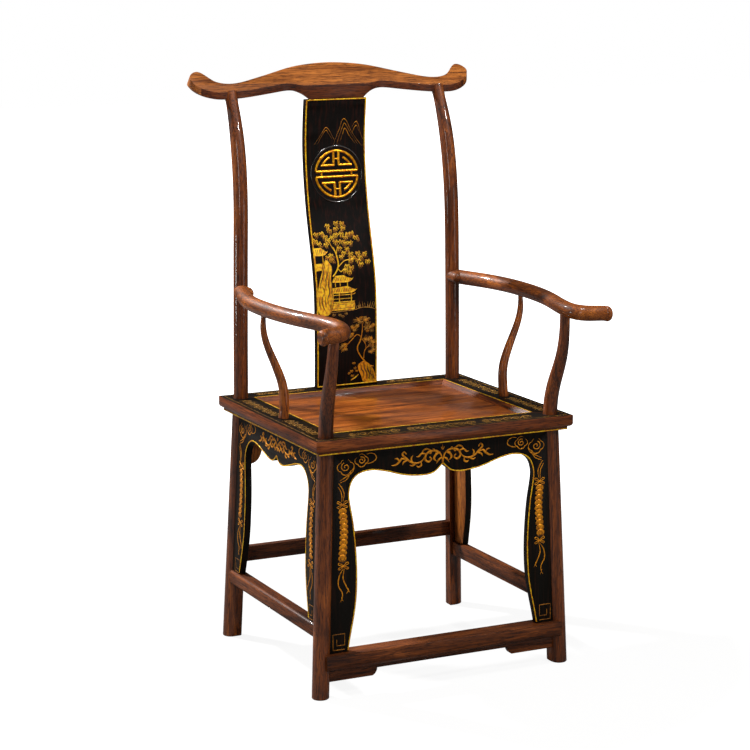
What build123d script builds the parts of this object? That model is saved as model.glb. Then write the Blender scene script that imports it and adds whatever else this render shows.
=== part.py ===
"""Official's hat armchair with four protruding ends, built joint by joint.

Millimetres. The origin is on the floor under the middle of the whole chair's footprint,
Z is up, the chair faces -Y. "left" is the -X side: the side on the left of someone
facing the chair.
"""
import os
from math import cos, radians, sin

from build123d import *

os.makedirs("parts", exist_ok=True)

# ---- overall sizes -------------------------------------------------------------------
seat_width = 560.0
seat_depth = 489.0
seat_top = 513.0
frame_height = 30.0
frame_under = seat_top - frame_height
arm_rise = 221.0
arm_height = seat_top + arm_rise
half_width = seat_width / 2
half_depth = seat_depth / 2

# ---- legs: round outside, square inside, splayed -------------------------------------
leg_radius = 17.0
leg_top_radius = 16.3
foot_chamfer = 1.5
leg_inset_x = 34.2
front_leg_inset_y, back_leg_inset_y = 33.2, 37.2
front_seat_x, front_seat_y = half_width - leg_inset_x, front_leg_inset_y - half_depth
back_seat_x, back_seat_y = half_width - leg_inset_x, half_depth - back_leg_inset_y
front_foot_x, front_foot_y = front_seat_x + 20.0, front_seat_y - 12.6
back_foot_x, back_foot_y = back_seat_x + 19.4, back_seat_y + 24.6

# ---- posts above the seat: (height, x, y, radius) ------------------------------------
front_post_stations = [
    (seat_top, front_seat_x, front_seat_y - 0.3, 14.5),
    (seat_top + arm_rise * 0.1447964, front_seat_x + 0.3, front_seat_y - 3.7, 14.3),
    (seat_top + arm_rise * 0.280543, front_seat_x + 1.5, front_seat_y - 11.7, 13.8),
    (seat_top + arm_rise * 0.4162896, front_seat_x + 3.4, front_seat_y - 23.2, 13.0),
    (seat_top + arm_rise * 0.5520362, front_seat_x + 4.6, front_seat_y - 34.3, 12.0),
    (seat_top + arm_rise * 0.6877828, front_seat_x + 4.7, front_seat_y - 41.7, 11.0),
    (seat_top + arm_rise * 0.8235294, front_seat_x + 4.0, front_seat_y - 45.9, 10.2),
    (arm_height, front_seat_x + 2.6, front_seat_y - 47.7, 9.8),
]
back_post_stations = [
    (seat_top, back_seat_x + 0.1, back_seat_y - 0.3, 15.0),
    (seat_top + 87.0, back_seat_x - 0.6, back_seat_y - 0.9, 15.0),
    (seat_top + 187.0, back_seat_x - 1.6, back_seat_y - 1.3, 15.0),
    (seat_top + 287.0, back_seat_x - 2.8, back_seat_y - 1.5, 15.0),
    (seat_top + 367.0, back_seat_x - 4.3, back_seat_y - 1.1, 15.0),
    (seat_top + 427.0, back_seat_x - 5.6, back_seat_y + 2.2, 15.0),
    (seat_top + 487.0, back_seat_x - 6.8, back_seat_y + 10.5, 15.0),
    (seat_top + 537.0, back_seat_x - 7.8, back_seat_y + 23.0, 14.4),
    (seat_top + 587.0, back_seat_x - 8.9, back_seat_y + 42.2, 13.0),
    (seat_top + 620.5, back_seat_x - 9.6, back_seat_y + 57.7, 13.2),
]

# ---- seat frame ----------------------------------------------------------------------
side_border = 62.0
back_border = 50.0
moulding_width = 9.0
panel_recess = 9.0
rail_flat_face = 16.0
rail_round_height = 7.0
rail_round_inset = 5.0
rail_round_middle = (1.0, 3.2)
lip_inset = 8.0
corner_tenon_x = half_width - 59.0
corner_tenon_width = 14.0
corner_tenon_length = 26.0
corner_tenon_height = 10.0
corner_tenon_z = seat_top - 15.0

# ---- seat panel and battens ----------------------------------------------------------
panel_thickness = 9.0
tongue_low, tongue_high = seat_top - 16.5, seat_top - 11.5
tongue_depth = 6.0
groove_play = 1.0
board_joint_y = -2.0
board_tongue = 4.0
board_tongue_low, board_tongue_high = seat_top - 14.0, seat_top - 12.0
batten_x = 105.0
batten_width = 24.0
batten_under = frame_under + 1.0
batten_key_depth = 3.0
batten_key_narrow = 12.0
batten_key_wide = 16.0
batten_tenon = 10.0
batten_tenon_low, batten_tenon_high = frame_under + 3.0, frame_under + 10.0
batten_tenon_width = 14.0

# ---- arms ----------------------------------------------------------------------------
arm_radius = 15.3
arm_end_profile = [(0.0, 15.3), (3.5, 14.9), (6.5, 13.2), (8.5, 9.8)]
arm_path_points = [
    (back_seat_x - 1.2, back_seat_y - 4.3, arm_height),
    (back_seat_x + 8.7, back_seat_y - 39.3, arm_height),
    (back_seat_x + 23.2, back_seat_y - 85.3, arm_height),
    (back_seat_x + 34.7, back_seat_y - 134.3, arm_height),
    (back_seat_x + 40.2, 25.0, arm_height),
    (front_seat_x + 41.0, -22.0, arm_height),
    (front_seat_x + 37.7, front_seat_y + 131.3, arm_height),
    (front_seat_x + 28.7, front_seat_y + 70.3, arm_height),
    (front_seat_x + 16.7, front_seat_y + 19.3, arm_height),
    (front_seat_x + 6.2, front_seat_y - 21.7, arm_height - 0.5),
    (front_seat_x + 0.7, front_seat_y - 54.7, arm_height - 1.5),
    (front_seat_x + 2.7, front_seat_y - 81.7, arm_height - 3.1),
    (front_seat_x + 20.2, front_seat_y - 103.2, arm_height - 4.8),
    (front_seat_x + 55.7, front_seat_y - 116.7, arm_height - 6.4),
]
arm_shoulder_radius = 13.0
arm_shoulder_x = back_seat_x - 4.3
arm_shoulder_front = back_seat_y - 44.3
arm_tenon_radius = 6.0
arm_tenon_length = 12.0
support_stations = [
    (seat_top, front_seat_x + 2.8, -17.0, 10.0),
    (seat_top + arm_rise * 0.0995475, front_seat_x + 0.5, -16.5, 9.8),
    (seat_top + arm_rise * 0.2126697, front_seat_x + 0.2, -15.5, 9.5),
    (seat_top + arm_rise * 0.3167421, front_seat_x + 3.7, -14.6, 9.2),
    (seat_top + arm_rise * 0.4208145, front_seat_x + 11.4, -14.0, 8.7),
    (seat_top + arm_rise * 0.5294118, front_seat_x + 21.4, -13.6, 8.0),
    (seat_top + arm_rise * 0.6425339, front_seat_x + 32.0, -13.4, 7.3),
    (seat_top + arm_rise * 0.7556561, front_seat_x + 39.8, -13.3, 6.6),
    (seat_top + arm_rise * 0.8552036, front_seat_x + 42.2, -13.3, 5.8),
    (arm_height, front_seat_x + 42.2, -13.3, 5.3),
]
support_tenon_radius = 4.0
support_tenon_top = arm_height - 4.0
support_foot_radius = 6.0
support_foot_depth = 14.0
support_cut_width = 40.0

# ---- splat: front face height against depth ------------------------------------------
splat_width = 139.5
splat_thickness = 14.5
splat_front_face = [
    (back_seat_y + 7.2, seat_top),
    (back_seat_y + 5.9, seat_top + 72.0),
    (back_seat_y + 6.1, seat_top + 142.0),
    (back_seat_y + 11.7, seat_top + 227.0),
    (back_seat_y + 27.7, seat_top + 298.0),
    (back_seat_y + 45.2, seat_top + 367.0),
    (back_seat_y + 57.2, seat_top + 437.0),
    (back_seat_y + 62.2, seat_top + 497.0),
    (back_seat_y + 60.7, seat_top + 547.0),
    (back_seat_y + 54.2, seat_top + 602.0),
]
splat_top = seat_top + 602.0
splat_tenon_width = 110.0
splat_tenon_thickness = 8.0
splat_tenon_length = 10.0

# ---- crest rail: a board leaning back, outline measured on its broad face --------------
crest_lean = 45.0
crest_plane_y, crest_plane_z = back_seat_y + 62.7, seat_top + 637.0
crest_thickness = 20.0
crest_tab_half = 73.0
crest_tab_foot_half = 63.0
crest_edge_height = 14.5
crest_tab_step = 2.0
crest_front_top = [
    (85.0, crest_plane_z - 4.4),
    (103.0, crest_plane_z - 1.7),
    (130.0, crest_plane_z - 3.7),
    (back_seat_x - 75.8, crest_plane_z - 8.5),
    (back_seat_x - 35.8, crest_plane_z - 12.6),
    (back_seat_x + 4.2, crest_plane_z - 14.4),
    (back_seat_x + 29.2, crest_plane_z - 12.8),
    (back_seat_x + 50.2, crest_plane_z - 6.5),
    (back_seat_x + 65.2, crest_plane_z + 3.0),
]
crest_tip = (back_seat_x + 71.7, crest_plane_z + 13.5)
crest_back_top = [
    (0.0, crest_plane_z + 37.2),
    (45.0, crest_plane_z + 35.2),
    (90.0, crest_plane_z + 29.6),
    (137.0, crest_plane_z + 19.2),
    (back_seat_x - 65.8, crest_plane_z + 9.8),
    (back_seat_x - 23.8, crest_plane_z + 2.4),
    (back_seat_x + 1.2, crest_plane_z + 2.6),
    (back_seat_x + 20.2, crest_plane_z + 7.6),
    (back_seat_x + 35.2, crest_plane_z + 18.6),
    (back_seat_x + 51.2, crest_plane_z + 26.3),
    (back_seat_x + 65.2, crest_plane_z + 22.0),
]

# ---- footrest and stretchers ---------------------------------------------------------
footrest_top = 88.0
footrest_under = 56.0
footrest_face_low = footrest_under + 13.0
footrest_front = front_foot_y - 22.1
footrest_back = front_foot_y + 18.9
footrest_round_y = front_foot_y - 9.1
footrest_round_middle = (front_foot_y - 18.3, footrest_under + 4.0)
footrest_half = front_foot_x - 5.8
strip_front = front_foot_y - 4.1
strip_thickness = 12.0
strip_step = [
    (front_foot_x - 110.8, 31.0),
    (front_foot_x - 117.8, 37.0),
    (front_foot_x - 120.8, 46.0),
]
side_stretcher_top = 147.0
side_stretcher_height = 29.5
side_stretcher_inner, side_stretcher_outer = front_seat_x + 3.2, front_seat_x + 28.2
back_stretcher_top = 193.5
back_stretcher_height = 31.5
back_stretcher_front, back_stretcher_back = back_foot_y - 23.9, back_foot_y - 1.9
stretcher_round = 7.0
stretcher_tenon_thickness = 9.0
stretcher_tenon_shoulder = 5.0
strip_tenon_length = 8.0

# ---- aprons --------------------------------------------------------------------------
apron_set_out = 9.0
apron_thickness = 14.0
apron_tongue_thickness = 5.0
apron_tongue_depth = 4.0
arch_reach = front_seat_x - 43.8
arch_foot = footrest_top - 2.0
arch_rise = frame_under - arch_foot
front_arch = [
    (0.0, arch_foot + arch_rise * 0.8866499),
    (arch_reach * 0.0544554, arch_foot + arch_rise * 0.861461),
    (arch_reach * 0.0990099, arch_foot + arch_rise * 0.8471033),
    (arch_reach * 0.1732673, arch_foot + arch_rise * 0.8392947),
    (arch_reach * 0.2475248, arch_foot + arch_rise * 0.8395466),
    (arch_reach * 0.3712871, arch_foot + arch_rise * 0.8463476),
    (arch_reach * 0.470297, arch_foot + arch_rise * 0.8576826),
    (arch_reach * 0.5693069, arch_foot + arch_rise * 0.8740554),
    (arch_reach * 0.6683168, arch_foot + arch_rise * 0.8866499),
    (arch_reach * 0.7475248, arch_foot + arch_rise * 0.8929471),
    (arch_reach * 0.8217822, arch_foot + arch_rise * 0.8916877),
    (arch_reach * 0.8960396, arch_foot + arch_rise * 0.8823678),
    (arch_reach * 0.9554455, arch_foot + arch_rise * 0.8589421),
    (arch_reach * 0.990099, arch_foot + arch_rise * 0.8211587),
    (arch_reach, arch_foot + arch_rise * 0.7833753),
    (arch_reach * 0.9915842, arch_foot + arch_rise * 0.7405542),
    (arch_reach * 0.9653465, arch_foot + arch_rise * 0.6649874),
    (arch_reach * 0.9430693, arch_foot + arch_rise * 0.5642317),
    (arch_reach * 0.9306931, arch_foot + arch_rise * 0.4634761),
    (arch_reach * 0.9282178, arch_foot + arch_rise * 0.3879093),
    (arch_reach * 0.9405941, arch_foot + arch_rise * 0.2619647),
    (arch_reach * 0.9678218, arch_foot + arch_rise * 0.1738035),
    (arch_reach * 1.0024752, arch_foot + arch_rise * 0.0906801),
    (arch_reach * 1.0366337, arch_foot),
]
front_mitre_inner = (arch_reach - 11.0, frame_under - 54.0)
front_mitre_outer = (arch_reach + 34.0, frame_under)
side_reach = (back_seat_y - front_seat_y) / 2 - 52.8
side_foot = side_stretcher_top - 3.0
side_rise = frame_under - side_foot
side_arch = [
    (0.0, side_foot + side_rise * 0.8539823),
    (side_reach * 0.057508, side_foot + side_rise * 0.8283186),
    (side_reach * 0.115016, side_foot + side_rise * 0.8159292),
    (side_reach * 0.1916933, side_foot + side_rise * 0.8141593),
    (side_reach * 0.3067093, side_foot + side_rise * 0.8235988),
    (side_reach * 0.4472843, side_foot + side_rise * 0.8421829),
    (side_reach * 0.5878594, side_foot + side_rise * 0.8613569),
    (side_reach * 0.7028754, side_foot + side_rise * 0.8702065),
    (side_reach * 0.798722, side_foot + side_rise * 0.8681416),
    (side_reach * 0.8817891, side_foot + side_rise * 0.8510324),
    (side_reach * 0.9520767, side_foot + side_rise * 0.8171091),
    (side_reach * 0.9968051, side_foot + side_rise * 0.7669617),
    (side_reach, side_foot + side_rise * 0.7109145),
    (side_reach * 0.9808307, side_foot + side_rise * 0.6224189),
    (side_reach * 0.9648562, side_foot + side_rise * 0.519174),
    (side_reach * 0.9648562, side_foot + side_rise * 0.4159292),
    (side_reach * 0.9776358, side_foot + side_rise * 0.2979351),
    (side_reach * 1.0127796, side_foot + side_rise * 0.1946903),
    (side_reach * 1.0670927, side_foot + side_rise * 0.0914454),
    (side_reach * 1.115655, side_foot),
]
side_mitre_inner = (side_reach - 9.5, frame_under - 59.2)
side_mitre_outer = (side_reach + 43.5, frame_under)
side_arch_centre = -2.0
back_bracket_inner = back_seat_x - 44.8
back_bracket_edge = [
    (back_seat_x - 22.8, frame_under - 112.0),
    (back_seat_x - 38.8, frame_under - 103.0),
    (back_seat_x - 44.8, frame_under - 91.0),
    (back_seat_x - 48.8, frame_under - 68.0),
    (back_seat_x - 58.8, frame_under - 49.0),
    (back_seat_x - 76.8, frame_under - 40.0),
]

# ---- reach of the outlines that part an apron into its three pieces ---------------------
share_past_leg = 10.0
share_past_arch = 20.0
share_inward = 60.0
side_share_reach = back_foot_y + 0.1

sides = {"left": -1, "right": 1}

# Everything is drawn about the middle of the seat, then stood over the middle of the
# whole chair's footprint, from the arm ends to the back of the crest rail.
origin_shift = 11.01
stand_position = (0, origin_shift, 0)


def front_leg_at(height):
    """Centre (x, y) of the right front leg at a height below the seat."""
    share = height / seat_top
    x = front_foot_x + (front_seat_x - front_foot_x) * share
    y = front_foot_y + (front_seat_y - front_foot_y) * share
    return x, y


def back_leg_at(height):
    """Centre (x, y) of the right back leg at a height below the seat."""
    share = height / seat_top
    x = back_foot_x + (back_seat_x - back_foot_x) * share
    y = back_foot_y + (back_seat_y - back_foot_y) * share
    return x, y


def tapered_member(points, radii):
    """A round member along a smooth curve through the points, with a radius at each."""
    with BuildLine() as path:
        Spline(*points)
    curve = path.edges()[0]
    with BuildPart() as member:
        for point, radius in zip(points, radii):
            share = curve.param_at_point(point)
            section = Plane(origin=point, x_dir=(1, 0, 0), z_dir=curve.tangent_at(share))
            with BuildSketch(section):
                Circle(radius)
        loft()
    return member.part


def lower_leg(side, centre_at, inward):
    """The splayed leg under the seat: round outside, square on the inner corner."""
    with BuildPart() as leg:
        for height, radius in ((0.0, leg_radius), (frame_under, leg_top_radius)):
            x, y = centre_at(height)
            with BuildSketch(Plane.XY.offset(height)):
                with Locations((side * x, y)):
                    Circle(radius)
                with Locations((side * (x - radius / 2), y + inward * radius / 2)):
                    Rectangle(radius, radius)
        loft(ruled=True)
        chamfer(leg.faces().sort_by(Axis.Z)[0].edges(), foot_chamfer)
    return leg.part


def upper_post(side, centre_at, stations):
    """The round post: straight through the seat frame, then along its curve."""
    radius = stations[0][3]
    x, y = centre_at(frame_under)
    points = [(side * x, y, frame_under)]
    radii = [radius]
    for height, px, py, pr in stations:
        points.append((side * px, py, height))
        radii.append(pr)
    return tapered_member(points, radii)


# ---- raw shapes shared by the pieces that meet -----------------------------------------
arm_tubes = {}
front_posts = {}
back_posts = {}
support_stems = {}
front_legs = {}
back_legs = {}
for name, side in sides.items():
    front_posts[name] = upper_post(side, front_leg_at, front_post_stations)
    back_posts[name] = upper_post(side, back_leg_at, back_post_stations)
    front_legs[name] = lower_leg(side, front_leg_at, 1)
    back_legs[name] = lower_leg(side, back_leg_at, -1)
    stem_points = [(side * x, y, z) for z, x, y, r in support_stations]
    stem_radii = [r for z, x, y, r in support_stations]
    support_stems[name] = tapered_member(stem_points, stem_radii)
    arm_points = [(side * x, y, z) for x, y, z in arm_path_points]
    arm_body = tapered_member(arm_points, [arm_radius] * len(arm_points))
    with BuildLine() as arm_path:
        Spline(*arm_points)
    end_plane = Plane(origin=arm_path.line @ 1, x_dir=(1, 0, 0), z_dir=arm_path.line % 1)
    with BuildPart() as arm_tube:
        for advance, radius in arm_end_profile:
            with BuildSketch(end_plane.offset(advance)):
                Circle(radius)
        loft()
        add(arm_body)
        with BuildSketch(Plane.XZ.offset(-back_seat_y)):
            with Locations((side * arm_shoulder_x, arm_height)):
                Circle(arm_shoulder_radius)
        extrude(amount=back_seat_y - arm_shoulder_front - arm_shoulder_radius)
        with Locations((side * arm_shoulder_x, arm_shoulder_front + arm_shoulder_radius, arm_height)):
            Sphere(arm_shoulder_radius)
    arm_tubes[name] = arm_tube.part


def stretcher_box(x_low, x_high, y_low, y_high, z_low, z_high):
    """A plain bar between two corners."""
    with BuildPart() as bar:
        with Locations(((x_low + x_high) / 2, (y_low + y_high) / 2, (z_low + z_high) / 2)):
            Box(abs(x_high - x_low), abs(y_high - y_low), abs(z_high - z_low))
    return bar.part


# ---- tenons of the stretchers, footrest and strip, cut into the legs -------------------
side_tenons = {}
stretcher_low = side_stretcher_top - side_stretcher_height
side_middle = side_stretcher_top - side_stretcher_height / 2
front_x, front_y = front_leg_at(side_middle)
back_x, back_y = back_leg_at(side_middle)
for name, side in sides.items():
    side_tenons[name] = stretcher_box(
        side * (front_x - stretcher_tenon_thickness / 2),
        side * (front_x + stretcher_tenon_thickness / 2),
        front_y,
        back_y,
        stretcher_low + stretcher_tenon_shoulder,
        side_stretcher_top - stretcher_tenon_shoulder,
    )
back_stretcher_low = back_stretcher_top - back_stretcher_height
back_x, back_y = back_leg_at(back_stretcher_top - back_stretcher_height / 2)
back_tenon = stretcher_box(
    -back_x,
    back_x,
    back_y - stretcher_tenon_thickness / 2,
    back_y + stretcher_tenon_thickness / 2,
    back_stretcher_low + stretcher_tenon_shoulder,
    back_stretcher_top - stretcher_tenon_shoulder,
)
foot_x, foot_y = front_leg_at(footrest_top - stretcher_tenon_shoulder)
footrest_tenon = stretcher_box(
    -foot_x,
    foot_x,
    foot_y - stretcher_tenon_thickness / 2,
    foot_y + stretcher_tenon_thickness / 2,
    footrest_under + stretcher_tenon_shoulder,
    footrest_top - stretcher_tenon_shoulder,
)
strip_end_low = strip_step[0][1]
strip_middle_low = strip_step[-1][1]
strip_reach = front_leg_at(strip_middle_low)[0] - leg_radius + strip_tenon_length
with BuildPart() as strip_tenons:
    tenon_low = strip_end_low + stretcher_tenon_shoulder
    tenon_high = footrest_under - stretcher_tenon_shoulder
    for side in sides.values():
        tenon_middle = side * (strip_reach - strip_tenon_length)
        with Locations((tenon_middle, strip_front + strip_thickness / 2, (tenon_low + tenon_high) / 2)):
            Box(2 * strip_tenon_length, strip_thickness - stretcher_tenon_shoulder, tenon_high - tenon_low)

# ---- what the upright aprons stand on ---------------------------------------------------
footrest_tread = stretcher_box(
    -footrest_half,
    footrest_half,
    footrest_front,
    footrest_back,
    footrest_under,
    footrest_top,
)
side_treads = {}
for name, side in sides.items():
    side_treads[name] = stretcher_box(
        side * (side_stretcher_inner - apron_thickness),
        side * (side_stretcher_outer + apron_thickness),
        front_foot_y,
        back_foot_y,
        stretcher_low,
        side_stretcher_top,
    )

# ---- apron planes: leaning with the legs -----------------------------------------------
front_apron_plane = Plane(
    origin=(0, front_foot_y - apron_set_out, 0),
    x_dir=(1, 0, 0),
    z_dir=(0, -1, (front_seat_y - front_foot_y) / seat_top),
)
back_apron_plane = Plane(
    origin=(0, back_foot_y + apron_set_out, 0),
    x_dir=(-1, 0, 0),
    z_dir=(0, 1, (back_foot_y - back_seat_y) / seat_top),
)
side_foot_x = (front_foot_x + back_foot_x) / 2
side_seat_x = (front_seat_x + back_seat_x) / 2
side_apron_planes = {}
for name, side in sides.items():
    side_apron_planes[name] = Plane(
        origin=(side * (side_foot_x + apron_set_out), 0, 0),
        x_dir=(0, side, 0),
        z_dir=(side, 0, (side_foot_x - side_seat_x) / seat_top),
    )


def arch_apron(plane, arch, centre, feet, tops):
    """The whole three-piece apron: outside the arch, between the leg centre lines."""
    foot_x, foot_z = arch[-1]
    right = [(centre + x, z) for x, z in arch]
    left = [(centre - x, z) for x, z in arch]
    with BuildPart() as blank:
        with BuildSketch(plane):
            with BuildLine():
                Spline(*right)
                Line((centre + foot_x, foot_z), (feet[1], foot_z))
                Line((feet[1], foot_z), (tops[1], frame_under))
                Line((tops[1], frame_under), (tops[0], frame_under))
                Line((tops[0], frame_under), (feet[0], foot_z))
                Line((feet[0], foot_z), (centre - foot_x, foot_z))
                Spline(*left)
            make_face()
        extrude(amount=-apron_thickness)
    return blank.part


def apron_piece(blank, plane, corners):
    """The share of an apron blank inside a polygon drawn on its plane."""
    with BuildPart() as piece:
        add(blank)
        with BuildSketch(plane):
            Polygon(*corners, align=None)
        extrude(amount=-apron_thickness, mode=Mode.INTERSECT)
    return piece.part


def apron_tongue(plane, low, high, left, right):
    """A thin tongue in the middle of an apron's thickness."""
    inset = (apron_thickness - apron_tongue_thickness) / 2
    with BuildPart() as tongue:
        with BuildSketch(plane.offset(-inset)):
            Polygon((left, low), (right, low), (right, high), (left, high), align=None)
        extrude(amount=-apron_tongue_thickness)
    return tongue.part


front_reach = front_leg_at(front_arch[-1][1])[0]
front_top_reach = front_leg_at(frame_under)[0]
front_blank = arch_apron(
    front_apron_plane,
    front_arch,
    0.0,
    (-front_reach, front_reach),
    (-front_top_reach, front_top_reach),
)
front_tongue_half = front_mitre_inner[0]
front_top_tongue = apron_tongue(
    front_apron_plane,
    frame_under,
    frame_under + apron_tongue_depth,
    -front_tongue_half,
    front_tongue_half,
)
side_blanks = {}
side_top_tongues = {}
for name, side in sides.items():
    centre = side * side_arch_centre
    foot_height = side_arch[-1][1]
    leg_feet = (side * front_leg_at(foot_height)[1], side * back_leg_at(foot_height)[1])
    leg_tops = (side * front_leg_at(frame_under)[1], side * back_leg_at(frame_under)[1])
    side_blanks[name] = arch_apron(
        side_apron_planes[name],
        side_arch,
        centre,
        sorted(leg_feet),
        sorted(leg_tops),
    )
    side_top_tongues[name] = apron_tongue(
        side_apron_planes[name],
        frame_under,
        frame_under + apron_tongue_depth,
        centre - side_mitre_inner[0],
        centre + side_mitre_inner[0],
    )
back_tongue_half = back_bracket_inner
back_top_tongue = apron_tongue(
    back_apron_plane,
    frame_under,
    frame_under + apron_tongue_depth,
    -back_tongue_half,
    back_tongue_half,
)

# ---- leg and post members --------------------------------------------------------------
for name, side in sides.items():
    top_x, top_y = front_post_stations[-1][1:3]
    with BuildPart() as front_leg_post:
        add(front_legs[name])
        add(front_posts[name])
        add(arm_tubes[name], mode=Mode.SUBTRACT)
        with Locations((side * top_x, top_y, arm_height - arm_radius)):
            Cylinder(arm_tenon_radius, 2 * arm_tenon_length)
        add(side_tenons[name], mode=Mode.SUBTRACT)
        add(footrest_tenon, mode=Mode.SUBTRACT)
        add(strip_tenons.part, mode=Mode.SUBTRACT)
    label = "front_leg_post_" + name
    front_leg_post.part.label = label
    front_leg_post.part.position = stand_position
    export_step(front_leg_post.part, "parts/" + label + ".step")

    with BuildPart() as back_leg_post:
        add(back_legs[name])
        add(back_posts[name])
        add(side_tenons[name], mode=Mode.SUBTRACT)
        add(back_tenon, mode=Mode.SUBTRACT)
    label = "back_leg_post_" + name
    back_leg_post.part.label = label
    back_leg_post.part.position = stand_position
    export_step(back_leg_post.part, "parts/" + label + ".step")

# ---- arms and their supports -----------------------------------------------------------
for name, side in sides.items():
    top_x, top_y = front_post_stations[-1][1:3]
    stem_top_x, stem_top_y = support_stations[-1][1:3]
    with BuildPart() as armrest:
        add(arm_tubes[name])
        add(back_posts[name], mode=Mode.SUBTRACT)
        with Locations((side * top_x, top_y, arm_height - arm_radius)):
            Cylinder(arm_tenon_radius, 2 * arm_tenon_length, mode=Mode.SUBTRACT)
        with Locations((side * stem_top_x, stem_top_y, support_tenon_top - arm_radius)):
            Cylinder(support_tenon_radius, 2 * arm_radius, mode=Mode.SUBTRACT)
    label = "armrest_" + name
    armrest.part.label = label
    armrest.part.position = stand_position
    export_step(armrest.part, "parts/" + label + ".step")

    foot_x, foot_y = support_stations[0][1:3]
    with BuildPart() as arm_support:
        add(support_stems[name])
        with Locations((side * foot_x, foot_y, seat_top - support_foot_depth / 2)):
            Box(support_cut_width, support_cut_width, support_foot_depth, mode=Mode.SUBTRACT)
        add(arm_tubes[name], mode=Mode.SUBTRACT)
        with Locations((side * stem_top_x, stem_top_y, support_tenon_top - arm_radius)):
            Cylinder(support_tenon_radius, 2 * arm_radius)
        with Locations((side * foot_x, foot_y, seat_top - support_foot_depth / 2)):
            Cylinder(support_foot_radius, support_foot_depth)
    label = "arm_support_" + name
    arm_support.part.label = label
    arm_support.part.position = stand_position
    export_step(arm_support.part, "parts/" + label + ".step")

# ---- splat -----------------------------------------------------------------------------
back_face = [(y + splat_thickness, z) for y, z in splat_front_face]
splat_foot_y = splat_front_face[0][0] + splat_thickness / 2
splat_head_y = splat_front_face[-1][0] + splat_thickness / 2
with BuildPart() as splat_tenons:
    for tenon_y, tenon_z in ((splat_foot_y, seat_top), (splat_head_y, splat_top)):
        with Locations((0, tenon_y, tenon_z)):
            Box(splat_tenon_width, splat_tenon_thickness, 2 * splat_tenon_length)
with BuildPart() as back_splat:
    with BuildSketch(Plane.YZ):
        with BuildLine():
            Spline(*splat_front_face)
            Line(splat_front_face[-1], back_face[-1])
            Spline(*reversed(back_face))
            Line(back_face[0], splat_front_face[0])
        make_face()
    extrude(amount=splat_width / 2, both=True)
    add(splat_tenons.part)
back_splat.part.label = "back_splat"
back_splat.part.position = stand_position
export_step(back_splat.part, "parts/back_splat.step")

# ---- crest rail --------------------------------------------------------------------------
lean_share = 1 / cos(radians(crest_lean))
crest_plane = Plane(
    origin=(0, crest_plane_y, crest_plane_z),
    x_dir=(1, 0, 0),
    z_dir=(0, -sin(radians(crest_lean)), cos(radians(crest_lean))),
)
crest_skirt = 40.0
crest_clear = 12.8


def on_crest(x, z):
    """A point of the broad face, given by its distance across and its height."""
    return x, (z - crest_plane_z) * lean_share


def crest_depth(z):
    """How far back the broad face is at a height."""
    return crest_plane_y + (z - crest_plane_z)


right_back = [on_crest(x, z) for x, z in crest_back_top] + [on_crest(*crest_tip)]
left_back = [(-x, w) for x, w in right_back]
board_corner_x = crest_tip[0]
board_low = on_crest(0, crest_plane_z - crest_skirt)[1]
front_run = [(x, crest_depth(z)) for x, z in crest_front_top]
tip_run = (crest_tip[0], crest_depth(crest_tip[1]))
tab_top_z = crest_front_top[0][1] - crest_tab_step
tab_y = crest_depth(tab_top_z)
low_run = [(x, z - crest_edge_height) for x, z in crest_front_top[1:]]
low_tip = (crest_tip[0], crest_tip[1] - crest_edge_height)
crest_ceiling = crest_back_top[0][1] + crest_clear
crest_behind = crest_depth(crest_ceiling) + crest_clear
with BuildPart() as crest_rail:
    with BuildSketch(crest_plane):
        with BuildLine():
            Spline(*right_back)
            Line(right_back[-1], (board_corner_x, board_low))
            Line((board_corner_x, board_low), (-board_corner_x, board_low))
            Line((-board_corner_x, board_low), left_back[-1])
            Spline(*reversed(left_back))
        make_face()
    extrude(amount=-crest_thickness)
    with BuildSketch(Plane.XY.offset(splat_top - splat_tenon_length)):
        with BuildLine():
            Line((-crest_tab_half, tab_y), (crest_tab_half, tab_y))
            Spline((crest_tab_half, tab_y), *front_run, tip_run)
            Line(tip_run, (board_corner_x, crest_behind))
            Line((board_corner_x, crest_behind), (-board_corner_x, crest_behind))
            Line((-board_corner_x, crest_behind), (-tip_run[0], tip_run[1]))
            mirrored_run = [(-x, y) for x, y in front_run]
            Spline((-crest_tab_half, tab_y), *mirrored_run, (-tip_run[0], tip_run[1]))
        make_face()
    extrude(amount=crest_ceiling - splat_top, mode=Mode.INTERSECT)
    with BuildSketch(Plane.XZ.offset(-crest_behind)):
        with BuildLine():
            Line((-crest_tab_foot_half, splat_top), (crest_tab_foot_half, splat_top))
            Spline((crest_tab_foot_half, splat_top), *low_run, low_tip)
            Line(low_tip, (board_corner_x, crest_ceiling))
            Line((board_corner_x, crest_ceiling), (-board_corner_x, crest_ceiling))
            Line((-board_corner_x, crest_ceiling), (-low_tip[0], low_tip[1]))
            mirrored_low = [(-x, z) for x, z in low_run]
            Spline((-crest_tab_foot_half, splat_top), *mirrored_low, (-low_tip[0], low_tip[1]))
        make_face()
    extrude(amount=crest_behind, mode=Mode.INTERSECT)
    add(splat_tenons.part, mode=Mode.SUBTRACT)
    for name in sides:
        add(back_posts[name], mode=Mode.SUBTRACT)
crest_rail.part.label = "crest_rail"
crest_rail.part.position = stand_position
export_step(crest_rail.part, "parts/crest_rail.step")


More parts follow.
